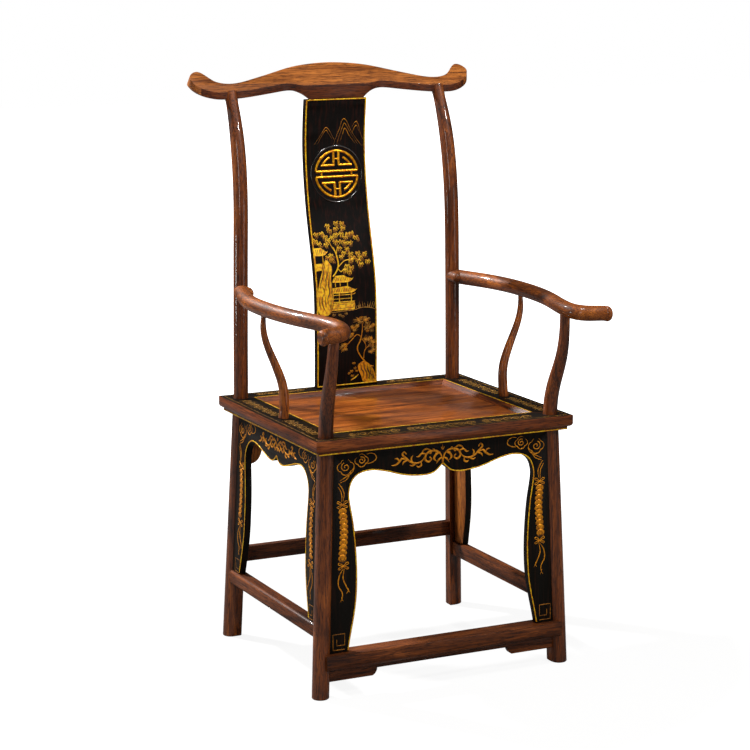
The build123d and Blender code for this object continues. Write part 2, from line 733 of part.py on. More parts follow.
# ---- seat frame --------------------------------------------------------------------------
def rail_section(ratio, outer, sign):
    """A rail's section as an open outline and the arc closing it, outer edge at sign."""
    def at(inset, height):
        return (sign * (outer - inset * ratio), height)

    panel_top = seat_top - panel_recess
    flat_low = seat_top - rail_flat_face
    round_low = flat_low - rail_round_height
    inner = side_border + moulding_width
    outline = [
        at(0, flat_low),
        at(0, seat_top),
        at(side_border, seat_top),
        at(inner, panel_top),
        at(inner, frame_under),
        at(lip_inset, frame_under),
        at(lip_inset, round_low),
        at(rail_round_inset, round_low),
    ]
    arc_middle = at(rail_round_middle[0], round_low + rail_round_middle[1])
    return outline, (outline[-1], arc_middle, outline[0])


side_inner = half_width - side_border - moulding_width
front_inner = half_depth - side_border - moulding_width
back_ratio = back_border / side_border
back_inner = half_depth - (side_border + moulding_width) * back_ratio

mitre_share = (half_width - corner_tenon_x) / side_border
corner_tenon_ys = (
    -half_depth + mitre_share * side_border,
    half_depth - mitre_share * back_border,
)
with BuildPart() as corner_tenons:
    for side in sides.values():
        for end_y in corner_tenon_ys:
            with Locations((side * corner_tenon_x, end_y, corner_tenon_z)):
                Box(corner_tenon_width, corner_tenon_length, corner_tenon_height)

with BuildPart() as panel_groove:
    groove_x = side_inner + tongue_depth + groove_play
    groove_front = -front_inner - tongue_depth - groove_play
    groove_back = back_inner + tongue_depth + groove_play
    with BuildSketch(Plane.XY.offset(tongue_low)):
        Polygon(
            (-groove_x, groove_front),
            (groove_x, groove_front),
            (groove_x, groove_back),
            (-groove_x, groove_back),
            align=None,
        )
    extrude(amount=tongue_high - tongue_low)

batten_middle_y = (back_inner - front_inner) / 2
batten_reach = back_inner + front_inner + 2 * batten_tenon
with BuildPart() as batten_tenons:
    for side in sides.values():
        with Locations((side * batten_x, batten_middle_y, (batten_tenon_low + batten_tenon_high) / 2)):
            Box(batten_tenon_width, batten_reach, batten_tenon_high - batten_tenon_low)

with BuildPart() as support_feet:
    foot_x, foot_y = support_stations[0][1:3]
    for side in sides.values():
        with Locations((side * foot_x, foot_y, seat_top - support_foot_depth / 2)):
            Cylinder(support_foot_radius, support_foot_depth)

front_corner = (half_width, -half_depth)
back_corner = (half_width, half_depth)
front_meet = (side_inner, -front_inner)
back_meet = (side_inner, back_inner)

for label, sign, ratio in (("seat_rail_front", -1, 1.0), ("seat_rail_back", 1, back_ratio)):
    corner = front_corner if sign < 0 else back_corner
    meet = front_meet if sign < 0 else back_meet
    rail_outline, rail_arc = rail_section(ratio, half_depth, sign)
    with BuildPart() as rail:
        with BuildSketch(Plane.YZ):
            with BuildLine():
                Polyline(*rail_outline)
                ThreePointArc(*rail_arc)
            make_face()
        extrude(amount=half_width, both=True)
        with BuildSketch(Plane.XY.offset(frame_under)):
            Polygon(
                (-corner[0], corner[1]),
                corner,
                meet,
                (-meet[0], meet[1]),
                align=None,
            )
        extrude(amount=frame_height, mode=Mode.INTERSECT)
        add(corner_tenons.part, mode=Mode.SUBTRACT)
        add(panel_groove.part, mode=Mode.SUBTRACT)
        add(batten_tenons.part, mode=Mode.SUBTRACT)
        for name in sides:
            add(front_posts[name] if sign < 0 else back_posts[name], mode=Mode.SUBTRACT)
        if sign < 0:
            add(front_top_tongue, mode=Mode.SUBTRACT)
        else:
            add(splat_tenons.part, mode=Mode.SUBTRACT)
            add(back_top_tongue, mode=Mode.SUBTRACT)
    rail.part.label = label
    rail.part.position = stand_position
    export_step(rail.part, "parts/" + label + ".step")

for name, side in sides.items():
    rail_outline, rail_arc = rail_section(1.0, half_width, side)
    with BuildPart() as side_rail:
        with BuildSketch(Plane.XZ):
            with BuildLine():
                Polyline(*rail_outline)
                ThreePointArc(*rail_arc)
            make_face()
        extrude(amount=half_depth, both=True)
        with BuildSketch(Plane.XY.offset(frame_under)):
            Polygon(
                (side * front_corner[0], front_corner[1]),
                (side * back_corner[0], back_corner[1]),
                (side * back_meet[0], back_meet[1]),
                (side * front_meet[0], front_meet[1]),
                align=None,
            )
        extrude(amount=frame_height, mode=Mode.INTERSECT)
        for end_y in corner_tenon_ys:
            with Locations((side * corner_tenon_x, end_y, corner_tenon_z)):
                Box(corner_tenon_width, corner_tenon_length, corner_tenon_height)
        add(panel_groove.part, mode=Mode.SUBTRACT)
        add(front_posts[name], mode=Mode.SUBTRACT)
        add(back_posts[name], mode=Mode.SUBTRACT)
        add(support_feet.part, mode=Mode.SUBTRACT)
        add(side_top_tongues[name], mode=Mode.SUBTRACT)
    label = "seat_rail_" + name
    side_rail.part.label = label
    side_rail.part.position = stand_position
    export_step(side_rail.part, "parts/" + label + ".step")

# ---- seat panel boards and battens -----------------------------------------------------
panel_top = seat_top - panel_recess
panel_under = panel_top - panel_thickness
key_top = panel_under + batten_key_depth
board_length = 2 * (side_inner + tongue_depth)


def key_corners(side):
    """The dovetail key of a batten, wider at the top."""
    return [
        (side * batten_x - batten_key_narrow / 2, panel_under),
        (side * batten_x + batten_key_narrow / 2, panel_under),
        (side * batten_x + batten_key_wide / 2, key_top),
        (side * batten_x - batten_key_wide / 2, key_top),
    ]


with BuildPart() as batten_keys:
    for side in sides.values():
        with BuildSketch(Plane.XZ.offset(-back_inner)):
            Polygon(*key_corners(side), align=None)
        extrude(amount=back_inner + front_inner)

for label, edge_y, sign in (
    ("seat_panel_front", -front_inner, -1),
    ("seat_panel_back", back_inner, 1),
):
    body_middle = (edge_y + board_joint_y) / 2
    body_depth = abs(edge_y - board_joint_y)
    tongue_edge = edge_y + sign * tongue_depth
    tongue_middle = (tongue_edge + board_joint_y) / 2
    tongue_span = abs(tongue_edge - board_joint_y)
    joint_tongue_y = board_joint_y + board_tongue / 2
    with BuildPart() as board:
        with Locations((0, body_middle, (panel_top + panel_under) / 2)):
            Box(2 * side_inner, body_depth, panel_thickness)
        with Locations((0, tongue_middle, (tongue_low + tongue_high) / 2)):
            Box(board_length, tongue_span, tongue_high - tongue_low)
        add(batten_keys.part, mode=Mode.SUBTRACT)
        joint_mode = Mode.ADD if sign < 0 else Mode.SUBTRACT
        with Locations((0, joint_tongue_y, (board_tongue_low + board_tongue_high) / 2)):
            Box(board_length, board_tongue, board_tongue_high - board_tongue_low, mode=joint_mode)
    board.part.label = label
    board.part.position = stand_position
    export_step(board.part, "parts/" + label + ".step")

for name, side in sides.items():
    with BuildPart() as batten:
        with Locations((side * batten_x, batten_middle_y, (batten_under + panel_under) / 2)):
            Box(batten_width, back_inner + front_inner, panel_under - batten_under)
        with BuildSketch(Plane.XZ.offset(-back_inner)):
            Polygon(*key_corners(side), align=None)
        extrude(amount=back_inner + front_inner)
        with Locations((side * batten_x, batten_middle_y, (batten_tenon_low + batten_tenon_high) / 2)):
            Box(batten_tenon_width, batten_reach, batten_tenon_high - batten_tenon_low)
    label = "seat_batten_" + name
    batten.part.label = label
    batten.part.position = stand_position
    export_step(batten.part, "parts/" + label + ".step")

# ---- aprons ------------------------------------------------------------------------------
inner_x, inner_z = front_mitre_inner
outer_x, outer_z = front_mitre_outer
foot_z = front_arch[-1][1]
far = front_reach + share_past_leg
front_shares = {
    "front_apron_top": [
        (-outer_x, outer_z),
        (-inner_x, inner_z),
        (0, front_arch[3][1] - share_past_arch),
        (inner_x, inner_z),
        (outer_x, outer_z),
    ],
    "front_apron_left": [
        (-outer_x, outer_z),
        (-far, outer_z),
        (-far, foot_z),
        (share_inward - inner_x, foot_z),
        (-inner_x, inner_z),
    ],
    "front_apron_right": [
        (inner_x, inner_z),
        (inner_x - share_inward, foot_z),
        (far, foot_z),
        (far, outer_z),
        (outer_x, outer_z),
    ],
}
for label, corners in front_shares.items():
    share = apron_piece(front_blank, front_apron_plane, corners)
    with BuildPart() as front_apron:
        add(share)
        if label == "front_apron_top":
            add(front_top_tongue)
        for name in sides:
            add(front_legs[name], mode=Mode.SUBTRACT)
        add(footrest_tread, mode=Mode.SUBTRACT)
    front_apron.part.label = label
    front_apron.part.position = stand_position
    export_step(front_apron.part, "parts/" + label + ".step")

inner_x, inner_z = side_mitre_inner
outer_x, outer_z = side_mitre_outer
foot_z = side_arch[-1][1]
far = side_share_reach
for name, side in sides.items():
    c = side * side_arch_centre
    side_shares = {
        "top": [
            (c - outer_x, outer_z),
            (c - inner_x, inner_z),
            (c, side_arch[3][1] - share_past_arch),
            (c + inner_x, inner_z),
            (c + outer_x, outer_z),
        ],
        "front" if side > 0 else "back": [
            (c - outer_x, outer_z),
            (-far, outer_z),
            (-far, foot_z),
            (c - inner_x + share_inward, foot_z),
            (c - inner_x, inner_z),
        ],
        "back" if side > 0 else "front": [
            (c + inner_x, inner_z),
            (c + inner_x - share_inward, foot_z),
            (far, foot_z),
            (far, outer_z),
            (c + outer_x, outer_z),
        ],
    }
    for part_name, corners in side_shares.items():
        share = apron_piece(side_blanks[name], side_apron_planes[name], corners)
        with BuildPart() as side_apron:
            add(share)
            if part_name == "top":
                add(side_top_tongues[name])
            add(front_legs[name], mode=Mode.SUBTRACT)
            add(back_legs[name], mode=Mode.SUBTRACT)
            add(side_treads[name], mode=Mode.SUBTRACT)
        label = "side_apron_" + name + "_" + part_name
        side_apron.part.label = label
        side_apron.part.position = stand_position
        export_step(side_apron.part, "parts/" + label + ".step")

bracket_low = back_bracket_edge[0][1]
low_reach = back_leg_at(bracket_low)[0]
top_reach = back_leg_at(frame_under)[0]
left_bracket = [(-x, z) for x, z in reversed(back_bracket_edge)]
with BuildPart() as back_apron:
    with BuildSketch(back_apron_plane):
        with BuildLine():
            Line((-top_reach, frame_under), (top_reach, frame_under))
            Line((top_reach, frame_under), (low_reach, bracket_low))
            Line((low_reach, bracket_low), back_bracket_edge[0])
            Spline(*back_bracket_edge)
            Line(back_bracket_edge[-1], left_bracket[0])
            Spline(*left_bracket)
            Line(left_bracket[-1], (-low_reach, bracket_low))
            Line((-low_reach, bracket_low), (-top_reach, frame_under))
        make_face()
    extrude(amount=-apron_thickness)
    add(back_top_tongue)
    for name in sides:
        add(back_legs[name], mode=Mode.SUBTRACT)
back_apron.part.label = "back_apron"
back_apron.part.position = stand_position
export_step(back_apron.part, "parts/back_apron.step")

# ---- footrest, strip and stretchers ------------------------------------------------------
with BuildPart() as footrest:
    with BuildSketch(Plane.YZ):
        with BuildLine():
            Line((footrest_front, footrest_face_low), (footrest_front, footrest_top))
            Line((footrest_front, footrest_top), (footrest_back, footrest_top))
            Line((footrest_back, footrest_top), (footrest_back, footrest_under))
            Line((footrest_back, footrest_under), (footrest_round_y, footrest_under))
            ThreePointArc(
                (footrest_round_y, footrest_under),
                footrest_round_middle,
                (footrest_front, footrest_face_low),
            )
        make_face()
    extrude(amount=footrest_half, both=True)
    for name in sides:
        add(front_legs[name], mode=Mode.SUBTRACT)
    add(footrest_tenon)
footrest.part.label = "footrest"
footrest.part.position = stand_position
export_step(footrest.part, "parts/footrest.step")

left_step = [(-x, z) for x, z in reversed(strip_step)]
with BuildPart() as footrest_strip:
    with BuildSketch(Plane.XZ.offset(-strip_front)):
        with BuildLine():
            Line((-front_foot_x, footrest_under), (front_foot_x, footrest_under))
            Line((front_foot_x, footrest_under), (front_foot_x, strip_end_low))
            Line((front_foot_x, strip_end_low), strip_step[0])
            Spline(*strip_step)
            Line(strip_step[-1], left_step[0])
            Spline(*left_step)
            Line(left_step[-1], (-front_foot_x, strip_end_low))
            Line((-front_foot_x, strip_end_low), (-front_foot_x, footrest_under))
        make_face()
    extrude(amount=-strip_thickness)
    for name in sides:
        add(front_legs[name], mode=Mode.SUBTRACT)
    add(strip_tenons.part)
footrest_strip.part.label = "footrest_strip"
footrest_strip.part.position = stand_position
export_step(footrest_strip.part, "parts/footrest_strip.step")

front_x, front_y = front_leg_at(side_middle)
back_x, back_y = back_leg_at(side_middle)
for name, side in sides.items():
    with BuildPart() as side_stretcher:
        middle_x = side * (side_stretcher_inner + side_stretcher_outer) / 2
        with Locations((middle_x, (front_y + back_y) / 2, side_middle)):
            Box(
                side_stretcher_outer - side_stretcher_inner,
                back_y - front_y,
                side_stretcher_height,
            )
        outer_edges = side_stretcher.edges().filter_by(Axis.Y).sort_by(Axis.X)
        fillet(outer_edges[-2:] if side > 0 else outer_edges[:2], stretcher_round)
        add(front_legs[name], mode=Mode.SUBTRACT)
        add(back_legs[name], mode=Mode.SUBTRACT)
        add(side_tenons[name])
    label = "side_stretcher_" + name
    side_stretcher.part.label = label
    side_stretcher.part.position = stand_position
    export_step(side_stretcher.part, "parts/" + label + ".step")

back_x, back_y = back_leg_at(back_stretcher_top - back_stretcher_height / 2)
with BuildPart() as back_stretcher:
    middle_y = (back_stretcher_front + back_stretcher_back) / 2
    with Locations((0, middle_y, back_stretcher_top - back_stretcher_height / 2)):
        Box(2 * back_x, back_stretcher_back - back_stretcher_front, back_stretcher_height)
    outer_edges = back_stretcher.edges().filter_by(Axis.X).sort_by(Axis.Y)
    fillet(outer_edges[-2:], stretcher_round)
    for name in sides:
        add(back_legs[name], mode=Mode.SUBTRACT)
    add(back_tenon)
back_stretcher.part.label = "back_stretcher"
back_stretcher.part.position = stand_position
export_step(back_stretcher.part, "parts/back_stretcher.step")
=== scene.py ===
"""Looks of the official's hat armchair: rosewood, black lacquer and gilt ornament.

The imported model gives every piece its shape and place. The ornament is drawn flat in
millimetres, raised by geometry nodes, and then laid on the face that carries it.
"""
from __future__ import annotations

import logging
import math
import random
from collections.abc import Callable, Sequence
from dataclasses import dataclass, field, replace
from enum import Enum
from functools import partial

import bmesh
import bpy
from bpy.types import Material, Mesh, Node, NodeSocket, NodeTree, Object
from mathutils import Matrix, Vector

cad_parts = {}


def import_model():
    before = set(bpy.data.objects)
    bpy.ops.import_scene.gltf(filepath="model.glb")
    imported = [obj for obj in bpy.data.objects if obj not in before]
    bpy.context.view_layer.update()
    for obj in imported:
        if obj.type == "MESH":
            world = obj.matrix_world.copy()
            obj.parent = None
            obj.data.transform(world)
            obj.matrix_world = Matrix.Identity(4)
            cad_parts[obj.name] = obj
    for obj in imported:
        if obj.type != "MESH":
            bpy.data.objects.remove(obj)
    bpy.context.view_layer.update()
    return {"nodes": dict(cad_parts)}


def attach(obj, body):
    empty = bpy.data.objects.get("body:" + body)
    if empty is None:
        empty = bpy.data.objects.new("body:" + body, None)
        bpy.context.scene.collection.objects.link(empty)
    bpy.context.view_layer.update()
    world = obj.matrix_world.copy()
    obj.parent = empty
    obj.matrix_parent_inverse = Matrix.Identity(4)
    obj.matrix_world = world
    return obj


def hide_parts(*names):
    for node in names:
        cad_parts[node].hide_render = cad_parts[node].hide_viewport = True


LOG = logging.getLogger("hat_chair")

Point = tuple[float, float]
Spot = tuple[float, float, float]
Inputs = dict[str | int, object]
Adder = Callable[..., Node]  # add_node for one tree


def path(points: str | Sequence[Point]) -> list[Point]:
    """A list of points, given as such or as text: "x,y x,y" in millimetres.

    Args:
        points: A list of points, or text: "x,y x,y" in millimetres.

    Returns:
        The points as a list.
    """
    if isinstance(points, str):
        pairs = (pair.split(",") for pair in points.split())
        return [(float(x), float(y)) for x, y in pairs]
    return list(points)


# ---- sizes that the ornament and the finishes follow, in mm from the seat's middle ----
MM = 0.001
SEAT_SHIFT = 11.01  # from the middle of the seat to the middle of the footprint
SEAT_TOP = 513.0
FRAME_UNDER = 483.0
HALF_WIDTH = 280.0
HALF_DEPTH = 244.5
SIDE_BORDER = 62.0
BACK_BORDER = 50.0
LIP_INSET = 8.0
APRON_SET_OUT = 9.0
FRONT_FOOT_Y, FRONT_SEAT_Y = -223.9, -211.3
SIDE_FOOT_X, SIDE_SEAT_X = 265.5, 245.8
FRONT_ARCH = path(
    "0,438 11,428 20,422.3 35,419.2 50,419.3 75,422 95,426.5 115,433 135,438 151,440.5 "
    "166,440 181,436.3 193,427 200,412 202,397 200.3,380 195,350 190.5,310 188,270 "
    "187.5,240 190,190 195.5,155 202.5,122 208.3,91"
)
SIDE_ARCH = path(
    "0,433.5 9,424.8 18,420.6 30,420 48,423.2 70,429.5 92,436 110,439 125,438.3 138,432.5 "
    "149,421 156,404 156.5,385 153.5,355 151,320 151,285 153,245 158.5,210 167,175 "
    "173.4,149.5"
)
SIDE_ARCH_CENTRE = -2.0
WHITE = (1.0, 1.0, 1.0, 1.0)
RIGHTWARD = Vector((1, 0, 0))
FORWARD = Vector((0, -1, 0))
UPWARD = Vector((0, 0, 1))


# ---- small helpers ------------------------------------------------------------------------
def linear(code: str) -> tuple[float, float, float, float]:
    """Turn an sRGB hex colour into the linear colour that the shaders take.

    Args:
        code: The colour as "#rrggbb".

    Returns:
        Red, green, blue and alpha.
    """
    parts = [int(code[i : i + 2], 16) / 255 for i in (1, 3, 5)]
    red, green, blue = (p / 12.92 if p <= 0.04045 else ((p + 0.055) / 1.055) ** 2.4 for p in parts)
    return red, green, blue, 1.0


def sweep(
    centre: Point, outer: float, start: float, turn: float, steps: int,
    inner: float | None = None, stretch: float = 1.0,
) -> list[Point]:
    """Points round a centre, on an arc or on a spiral.

    Args:
        centre: The middle of the arc.
        outer: The reach at the start.
        start: The angle at the start, in radians.
        turn: The angle that is passed, in radians; a negative one runs clockwise.
        steps: How many steps the turn takes.
        inner: The reach at the end, where it isn't the same.
        stretch: Height as a share of width.

    Returns:
        The points, one more than the steps.
    """
    end = outer if inner is None else inner
    run = []
    for i in range(steps + 1):
        angle = start + turn * i / steps
        reach = outer + (end - outer) * i / steps
        x, y = reach * math.cos(angle), reach * stretch * math.sin(angle)
        run.append((centre[0] + x, centre[1] + y))
    return run


def add_object(name: str, data: bpy.types.ID) -> Object:
    """Make an object of the data and put it in the scene.

    Args:
        name: The object's name.
        data: Its mesh, curve or lamp.

    Returns:
        The new object.
    """
    made = bpy.data.objects.new(name, data)
    bpy.context.scene.collection.objects.link(made)
    return made


def evaluated(piece: Object) -> Mesh:
    """The plain mesh that an object's modifiers make."""
    graph = bpy.context.evaluated_depsgraph_get()
    return bpy.data.meshes.new_from_object(piece.evaluated_get(graph), depsgraph=graph)


def feed(node: Node, inputs: Inputs) -> None:
    """Set each input, or join it to a socket or to the first output of a node.

    Args:
        node: The node whose inputs are set.
        inputs: Constants, sockets or nodes by input name or number.
    """
    for key, value in inputs.items():
        if isinstance(value, Node):
            value = value.outputs[0]
        if isinstance(value, NodeSocket):
            node.id_data.links.new(value, node.inputs[key])
        else:
            node.inputs[key].default_value = value


def add_node(tree: NodeTree, kind: str, inputs: Inputs | None = None, **settings: object) -> Node:
    """Add one node with its inputs and settings.

    Args:
        tree: The node tree that gets the node.
        kind: The node's type name.
        inputs: Constants, sockets or nodes by input name or number.
        settings: Properties of the node; "stops" sets a colour ramp.

    Returns:
        The new node.
    """
    node = tree.nodes.new(kind)
    stops = settings.pop("stops", ())
    for name, setting in settings.items():
        setattr(node, name, setting)
    if stops:
        elements = node.color_ramp.elements
        while len(elements) < len(stops):
            elements.new(1.0)
        for element, (position, colour) in zip(elements, stops):
            element.position = position
            element.color = linear(colour)
    feed(node, inputs or {})
    return node


# ---- kinds of finish ----------------------------------------------------------------------
class Grain(Enum):
    """The way the grain of a member runs."""

    ACROSS = "x"
    DEPTH = "y"
    UPRIGHT = "z"

    def scale(self, across: float, along: float) -> Spot:
        """Pattern scale for a feature that is across by along millimetres.

        Args:
            across: The feature's size across the grain, in millimetres.
            along: Its size along the grain, in millimetres.

        Returns:
            The scale for a Mapping node.
        """
        sizes = {axis: 1000.0 / across for axis in "xyz"}
        sizes[self.value] = 1000.0 / along
        return sizes["x"], sizes["y"], sizes["z"]


# the middle range of a noise, spread over the whole range of a roughness
MIDDLE_NOISE = {"From Min": 0.3, "From Max": 0.7}


def streaks(
    add: Adder, place: NodeSocket, scale: Spot, offset: Spot = (0.0, 0.0, 0.0), **noise: float
) -> Node:
    """Noise stretched along the grain; noise holds the texture's own inputs."""
    mapped = add("ShaderNodeMapping", {"Vector": place, "Scale": scale, "Location": offset})
    return add("ShaderNodeTexNoise", {"Vector": mapped, "Scale": 1.0, **noise})


@dataclass(frozen=True)
class Finish:
    """A procedural finish in object coordinates, made once for each name."""

    name: str

    def material(self, grain: Grain | None = None) -> Material:
        """The finish as a material.

        Args:
            grain: The way the grain runs; only the woods need it.

        Returns:
            The material, made at the first call.
        """
        name = f"{self.name}_{grain.value}" if grain else self.name
        ready = bpy.data.materials.get(name)
        if ready:
            return ready
        made = bpy.data.materials.new(name)
        made.use_nodes = True
        add = partial(add_node, made.node_tree)
        place = add("ShaderNodeTexCoord").outputs["Object"]
        feed(made.node_tree.nodes["Principled BSDF"], self.surface(add, place, grain))
        return made

    def surface(self, add: Adder, place: NodeSocket, grain: Grain | None) -> Inputs:
        """What goes into the shader; each kind of finish has its own."""
        raise NotImplementedError


@dataclass(frozen=True)
class Rosewood(Finish):
    """Planed and waxed rosewood: dark veins, fine pores and a long soft highlight."""

    pale: str
    middle: str
    dark: str
    roughness: float
    polish: float
    vein_spacing: float = 13.0
    vein_count: float = 7.0
    vein_share: float = 0.45
    relief: float = 0.22
    relief_depth: float = 0.0004
    wax_roughness: float = 0.06
    reflection: float = 0.26

    def surface(self, add: Adder, place: NodeSocket, grain: Grain) -> Inputs:
        """Veins, tone, fibres and pores along the grain.

        Args:
            add: Adds a node to the material.
            place: The piece's Object coordinates.
            grain: The way the grain runs.

        Returns:
            The shader's inputs.
        """
        spread = self.vein_spacing * self.vein_count
        # feature sizes in mm across and along the grain, then detail and roughness; the
        # pores are drawn coarser than the real 0.1 mm so that they show
        growth, tone, fibre, pore = (
            streaks(
                add, place, grain.scale(across, along), (0.31, 0.17, 0.53),
                Detail=detail, Roughness=rough, Distortion=0.15,
            )
            for across, along, detail, rough in (
                (spread, spread * 9.0, 2.0, 0.5),
                (30.0, 240.0, 2.0, 0.5),
                (2.2, 60.0, 4.0, 0.65),
                (1.5, 17.0, 3.0, 0.55),
            )
        )
        turns = {0: growth, 1: self.vein_count * 6.0}
        rings = add("ShaderNodeMath", turns, operation="MULTIPLY")
        wave = add("ShaderNodeMath", {0: rings}, operation="SINE")
        veins = add("ShaderNodeMapRange", {"Value": wave, "From Min": -1.0, "From Max": 1.0})
        blend = {"Factor": 1.0 - self.vein_share, "A": veins, "B": tone}
        mixed = add("ShaderNodeMix", blend, data_type="FLOAT")
        stops = ((0.16, self.dark), (0.42, self.middle), (0.66, self.middle), (0.86, self.pale))
        colour = add("ShaderNodeValToRGB", {"Fac": mixed}, stops=stops)
        for share, noise, shade, clear in (
            (0.85, fibre, "#6c4f3e", 0.58),
            (0.75, pore, "#4a3024", 0.47),
        ):
            stops = ((0.36, shade), (clear, "#ffffff"))
            darker = add("ShaderNodeValToRGB", {"Fac": noise}, stops=stops)
            layers = {0: share, 6: colour, 7: darker}
            both = add("ShaderNodeMix", layers, data_type="RGBA", blend_type="MULTIPLY")
            colour = both.outputs[2]
        gloss = {"To Min": self.roughness + 0.07, "To Max": self.roughness - 0.05}
        relief = {"Height": fibre, "Strength": self.relief, "Distance": self.relief_depth}
        return {
            "Base Color": colour,
            "Roughness": add("ShaderNodeMapRange", {"Value": fibre, **MIDDLE_NOISE, **gloss}),
            "Normal": add("ShaderNodeBump", relief),
            "Coat Weight": self.polish,
            "Coat Roughness": self.wax_roughness,
            "Specular IOR Level": self.reflection,
        }


@dataclass(frozen=True)
class Lacquer(Finish):
    """Brushed black lacquer: near black, faint reddish streaks, an even satin sheen."""

    black: str
    streak: str
    roughness: float
    coat: float
    gleam: float
    grain: Grain = Grain.UPRIGHT
    relief: float = 0.12
    relief_depth: float = 0.0003
    coat_roughness: float = 0.12

    def surface(self, add: Adder, place: NodeSocket, grain: Grain | None) -> Inputs:
        """Brush streaks and hairs along the piece.

        Args:
            add: Adds a node to the material.
            place: The piece's Object coordinates.
            grain: Not used, since the lacquer has its own.

        Returns:
            The shader's inputs.
        """
        # brush streaks 5 mm apart, hairs 1.6 mm (real ones are finer and would not show)
        streak, hair = (
            streaks(add, place, self.grain.scale(across, along), Detail=3.0)
            for across, along in ((5.0, 90.0), (1.6, 22.0))
        )
        stops = ((0.50, self.black), (0.72, self.streak))
        gloss = {"To Min": self.roughness - 0.05, "To Max": self.roughness + 0.07}
        relief = {"Height": hair, "Strength": self.relief, "Distance": self.relief_depth}
        return {
            "Base Color": add("ShaderNodeValToRGB", {"Fac": streak}, stops=stops),
            "Roughness": add("ShaderNodeMapRange", {"Value": hair, **MIDDLE_NOISE, **gloss}),
            "Normal": add("ShaderNodeBump", relief),
            "Coat Weight": self.coat,
            "Coat Roughness": self.coat_roughness,
            "Specular IOR Level": self.gleam,
        }


@dataclass(frozen=True)
class Gilt(Finish):
    """Gold powder laid on tacky lacquer: bright, slightly uneven, darker where thin."""

    bright: str
    thin: str
    roughness: float = 0.4
    metallic: float = 0.5
    relief: float = 0.25
    relief_depth: float = 0.0002

    def surface(self, add: Adder, place: NodeSocket, grain: Grain | None) -> Inputs:
        """Gold that is patchy over a few millimetres.

        Args:
            add: Adds a node to the material.
            place: The piece's Object coordinates.
            grain: Not used, since gold has none.

        Returns:
            The shader's inputs.
        """
        # patches of about 6 mm, powder of about 0.7 mm
        patches = add("ShaderNodeTexNoise", {"Vector": place, "Scale": 170.0, "Detail": 4.0})
        powder = add("ShaderNodeTexNoise", {"Vector": place, "Scale": 1400.0, "Detail": 2.0})
        stops = ((0.4, self.thin), (0.56, self.bright))
        relief = {"Height": powder, "Strength": self.relief, "Distance": self.relief_depth}
        return {
            "Base Color": add("ShaderNodeValToRGB", {"Fac": patches}, stops=stops),
            "Roughness": self.roughness,
            "Normal": add("ShaderNodeBump", relief),
            "Metallic": self.metallic,
        }


# ---- finishes -----------------------------------------------------------------------------
# Turned and rubbed rosewood: dark reddish veins along the post, a narrow bright line of wax.
POST_WOOD = Rosewood("turned_rosewood_wax_rubbed", "#aa5c1f", "#7a3c11", "#2b1103", 0.46, 0.5)
# Shaped by spokeshave and polished by hands: a little paler, smooth, strong streaks.
ARM_WOOD = Rosewood("shaved_rosewood_hand_polished", "#cf7626", "#9c5214", "#431c04", 0.5, 0.32)
# Sawn and planed board in light oil: the palest wood, even, a wide dull sheen.
CREST_WOOD = Rosewood("planed_rosewood_oiled", "#d0823c", "#b86c2c", "#8c4b18", 0.5, 0.0)
# Front and lower faces of the same board, sawn across the curve: its wood painted dark brown and
# flat as painted shade.
CREST_SHADED_EDGE_WOOD = Rosewood("sawn_rosewood_painted_shade_edge", "#87471a", "#662f0d", "#3a1604", 0.5, 0.05)
# Moulded rails with rubbed edges: middle brown, dry on top, warm where light grazes it.
FRAME_WOOD = Rosewood("moulded_rosewood_waxed", "#a65926", "#783a12", "#3c1805", 0.44, 0.1)
# Wide planed boards, sat smooth: broad flame figure and a soft pool of light.
PANEL_WOOD = Rosewood("planed_rosewood_sat_smooth", "#d2752c", "#a3561b", "#5c2807", 0.34, 0.35)
# Square bars near the floor, darkened by feet: deep brown, low gloss.
STRETCHER_WOOD = Rosewood("planed_rosewood_darkened", "#9c5524", "#6d3610", "#301304", 0.52, 0.06)
# Bare inner faces, only planed: open grain, orange brown, hardly any shine.
APRON_BACK_WOOD = Rosewood("planed_rosewood_bare", "#e08a38", "#bb6c26", "#7c3e10", 0.55, 0.0)
# Thin lacquer over a brown ground: the ground shows as hair-fine reddish streaks.
SPLAT_LACQUER = Lacquer("brushed_black_lacquer_brown_ground", "#0b0705", "#260f09", 0.4, 0.0, 0.08)
# Thicker brushed lacquer: even black with a slight warmth, satin.
APRON_LACQUER = Lacquer("brushed_black_lacquer_thick", "#0e0b07", "#23130b", 0.4, 0.0, 0.1)
# Lacquer that arms and cloth have rubbed: brownish, a trace greyer where it is worn.
BORDER_LACQUER = Lacquer(
    "rubbed_black_lacquer", "#0f0b07", "#26160c", 0.42, 0.0, 0.06, Grain.ACROSS
)
# Built up and polished lacquer bead: mirror black with hard white glints.
RIM_LACQUER = Lacquer("polished_black_lacquer_bead", "#0c0907", "#1a0e08", 0.1, 1.0, 0.6)
# Thick gold leaf on raised lacquer: deep yellow, rounded, bright on its crowns.
RAISED_GILT = Gilt("raised_gold_leaf", "#ffb515", "#cf7a06", 0.28, 0.65)
# Gold powder brushed on tacky lacquer: bright yellow, matt, patchy.
BRIGHT_GILT = Gilt("gold_powder_bright", "#ffc90f", "#d98806", 0.38, 0.3)
# Gold powder that has been varnished: amber, quieter.
AMBER_GILT = Gilt("gold_powder_varnished", "#f09a10", "#bf720c")
# Gold worn thin so that the black shows through it: brown gold.
FADED_GILT = Gilt("gold_powder_worn_thin", "#a9690e", "#6f4209", 0.45, 0.4)
# Gold powder under old varnish on the border: dull brass colour.
DULL_GILT = Gilt("gold_powder_old_varnish", "#c99238", "#8d5f20")
# Brown lacquer line drawn over the gold: dark, hardly shining.
SHADOW_GILT = Gilt("brown_lacquer_line", "#5c3206", "#331a02", 0.5, 0.2)


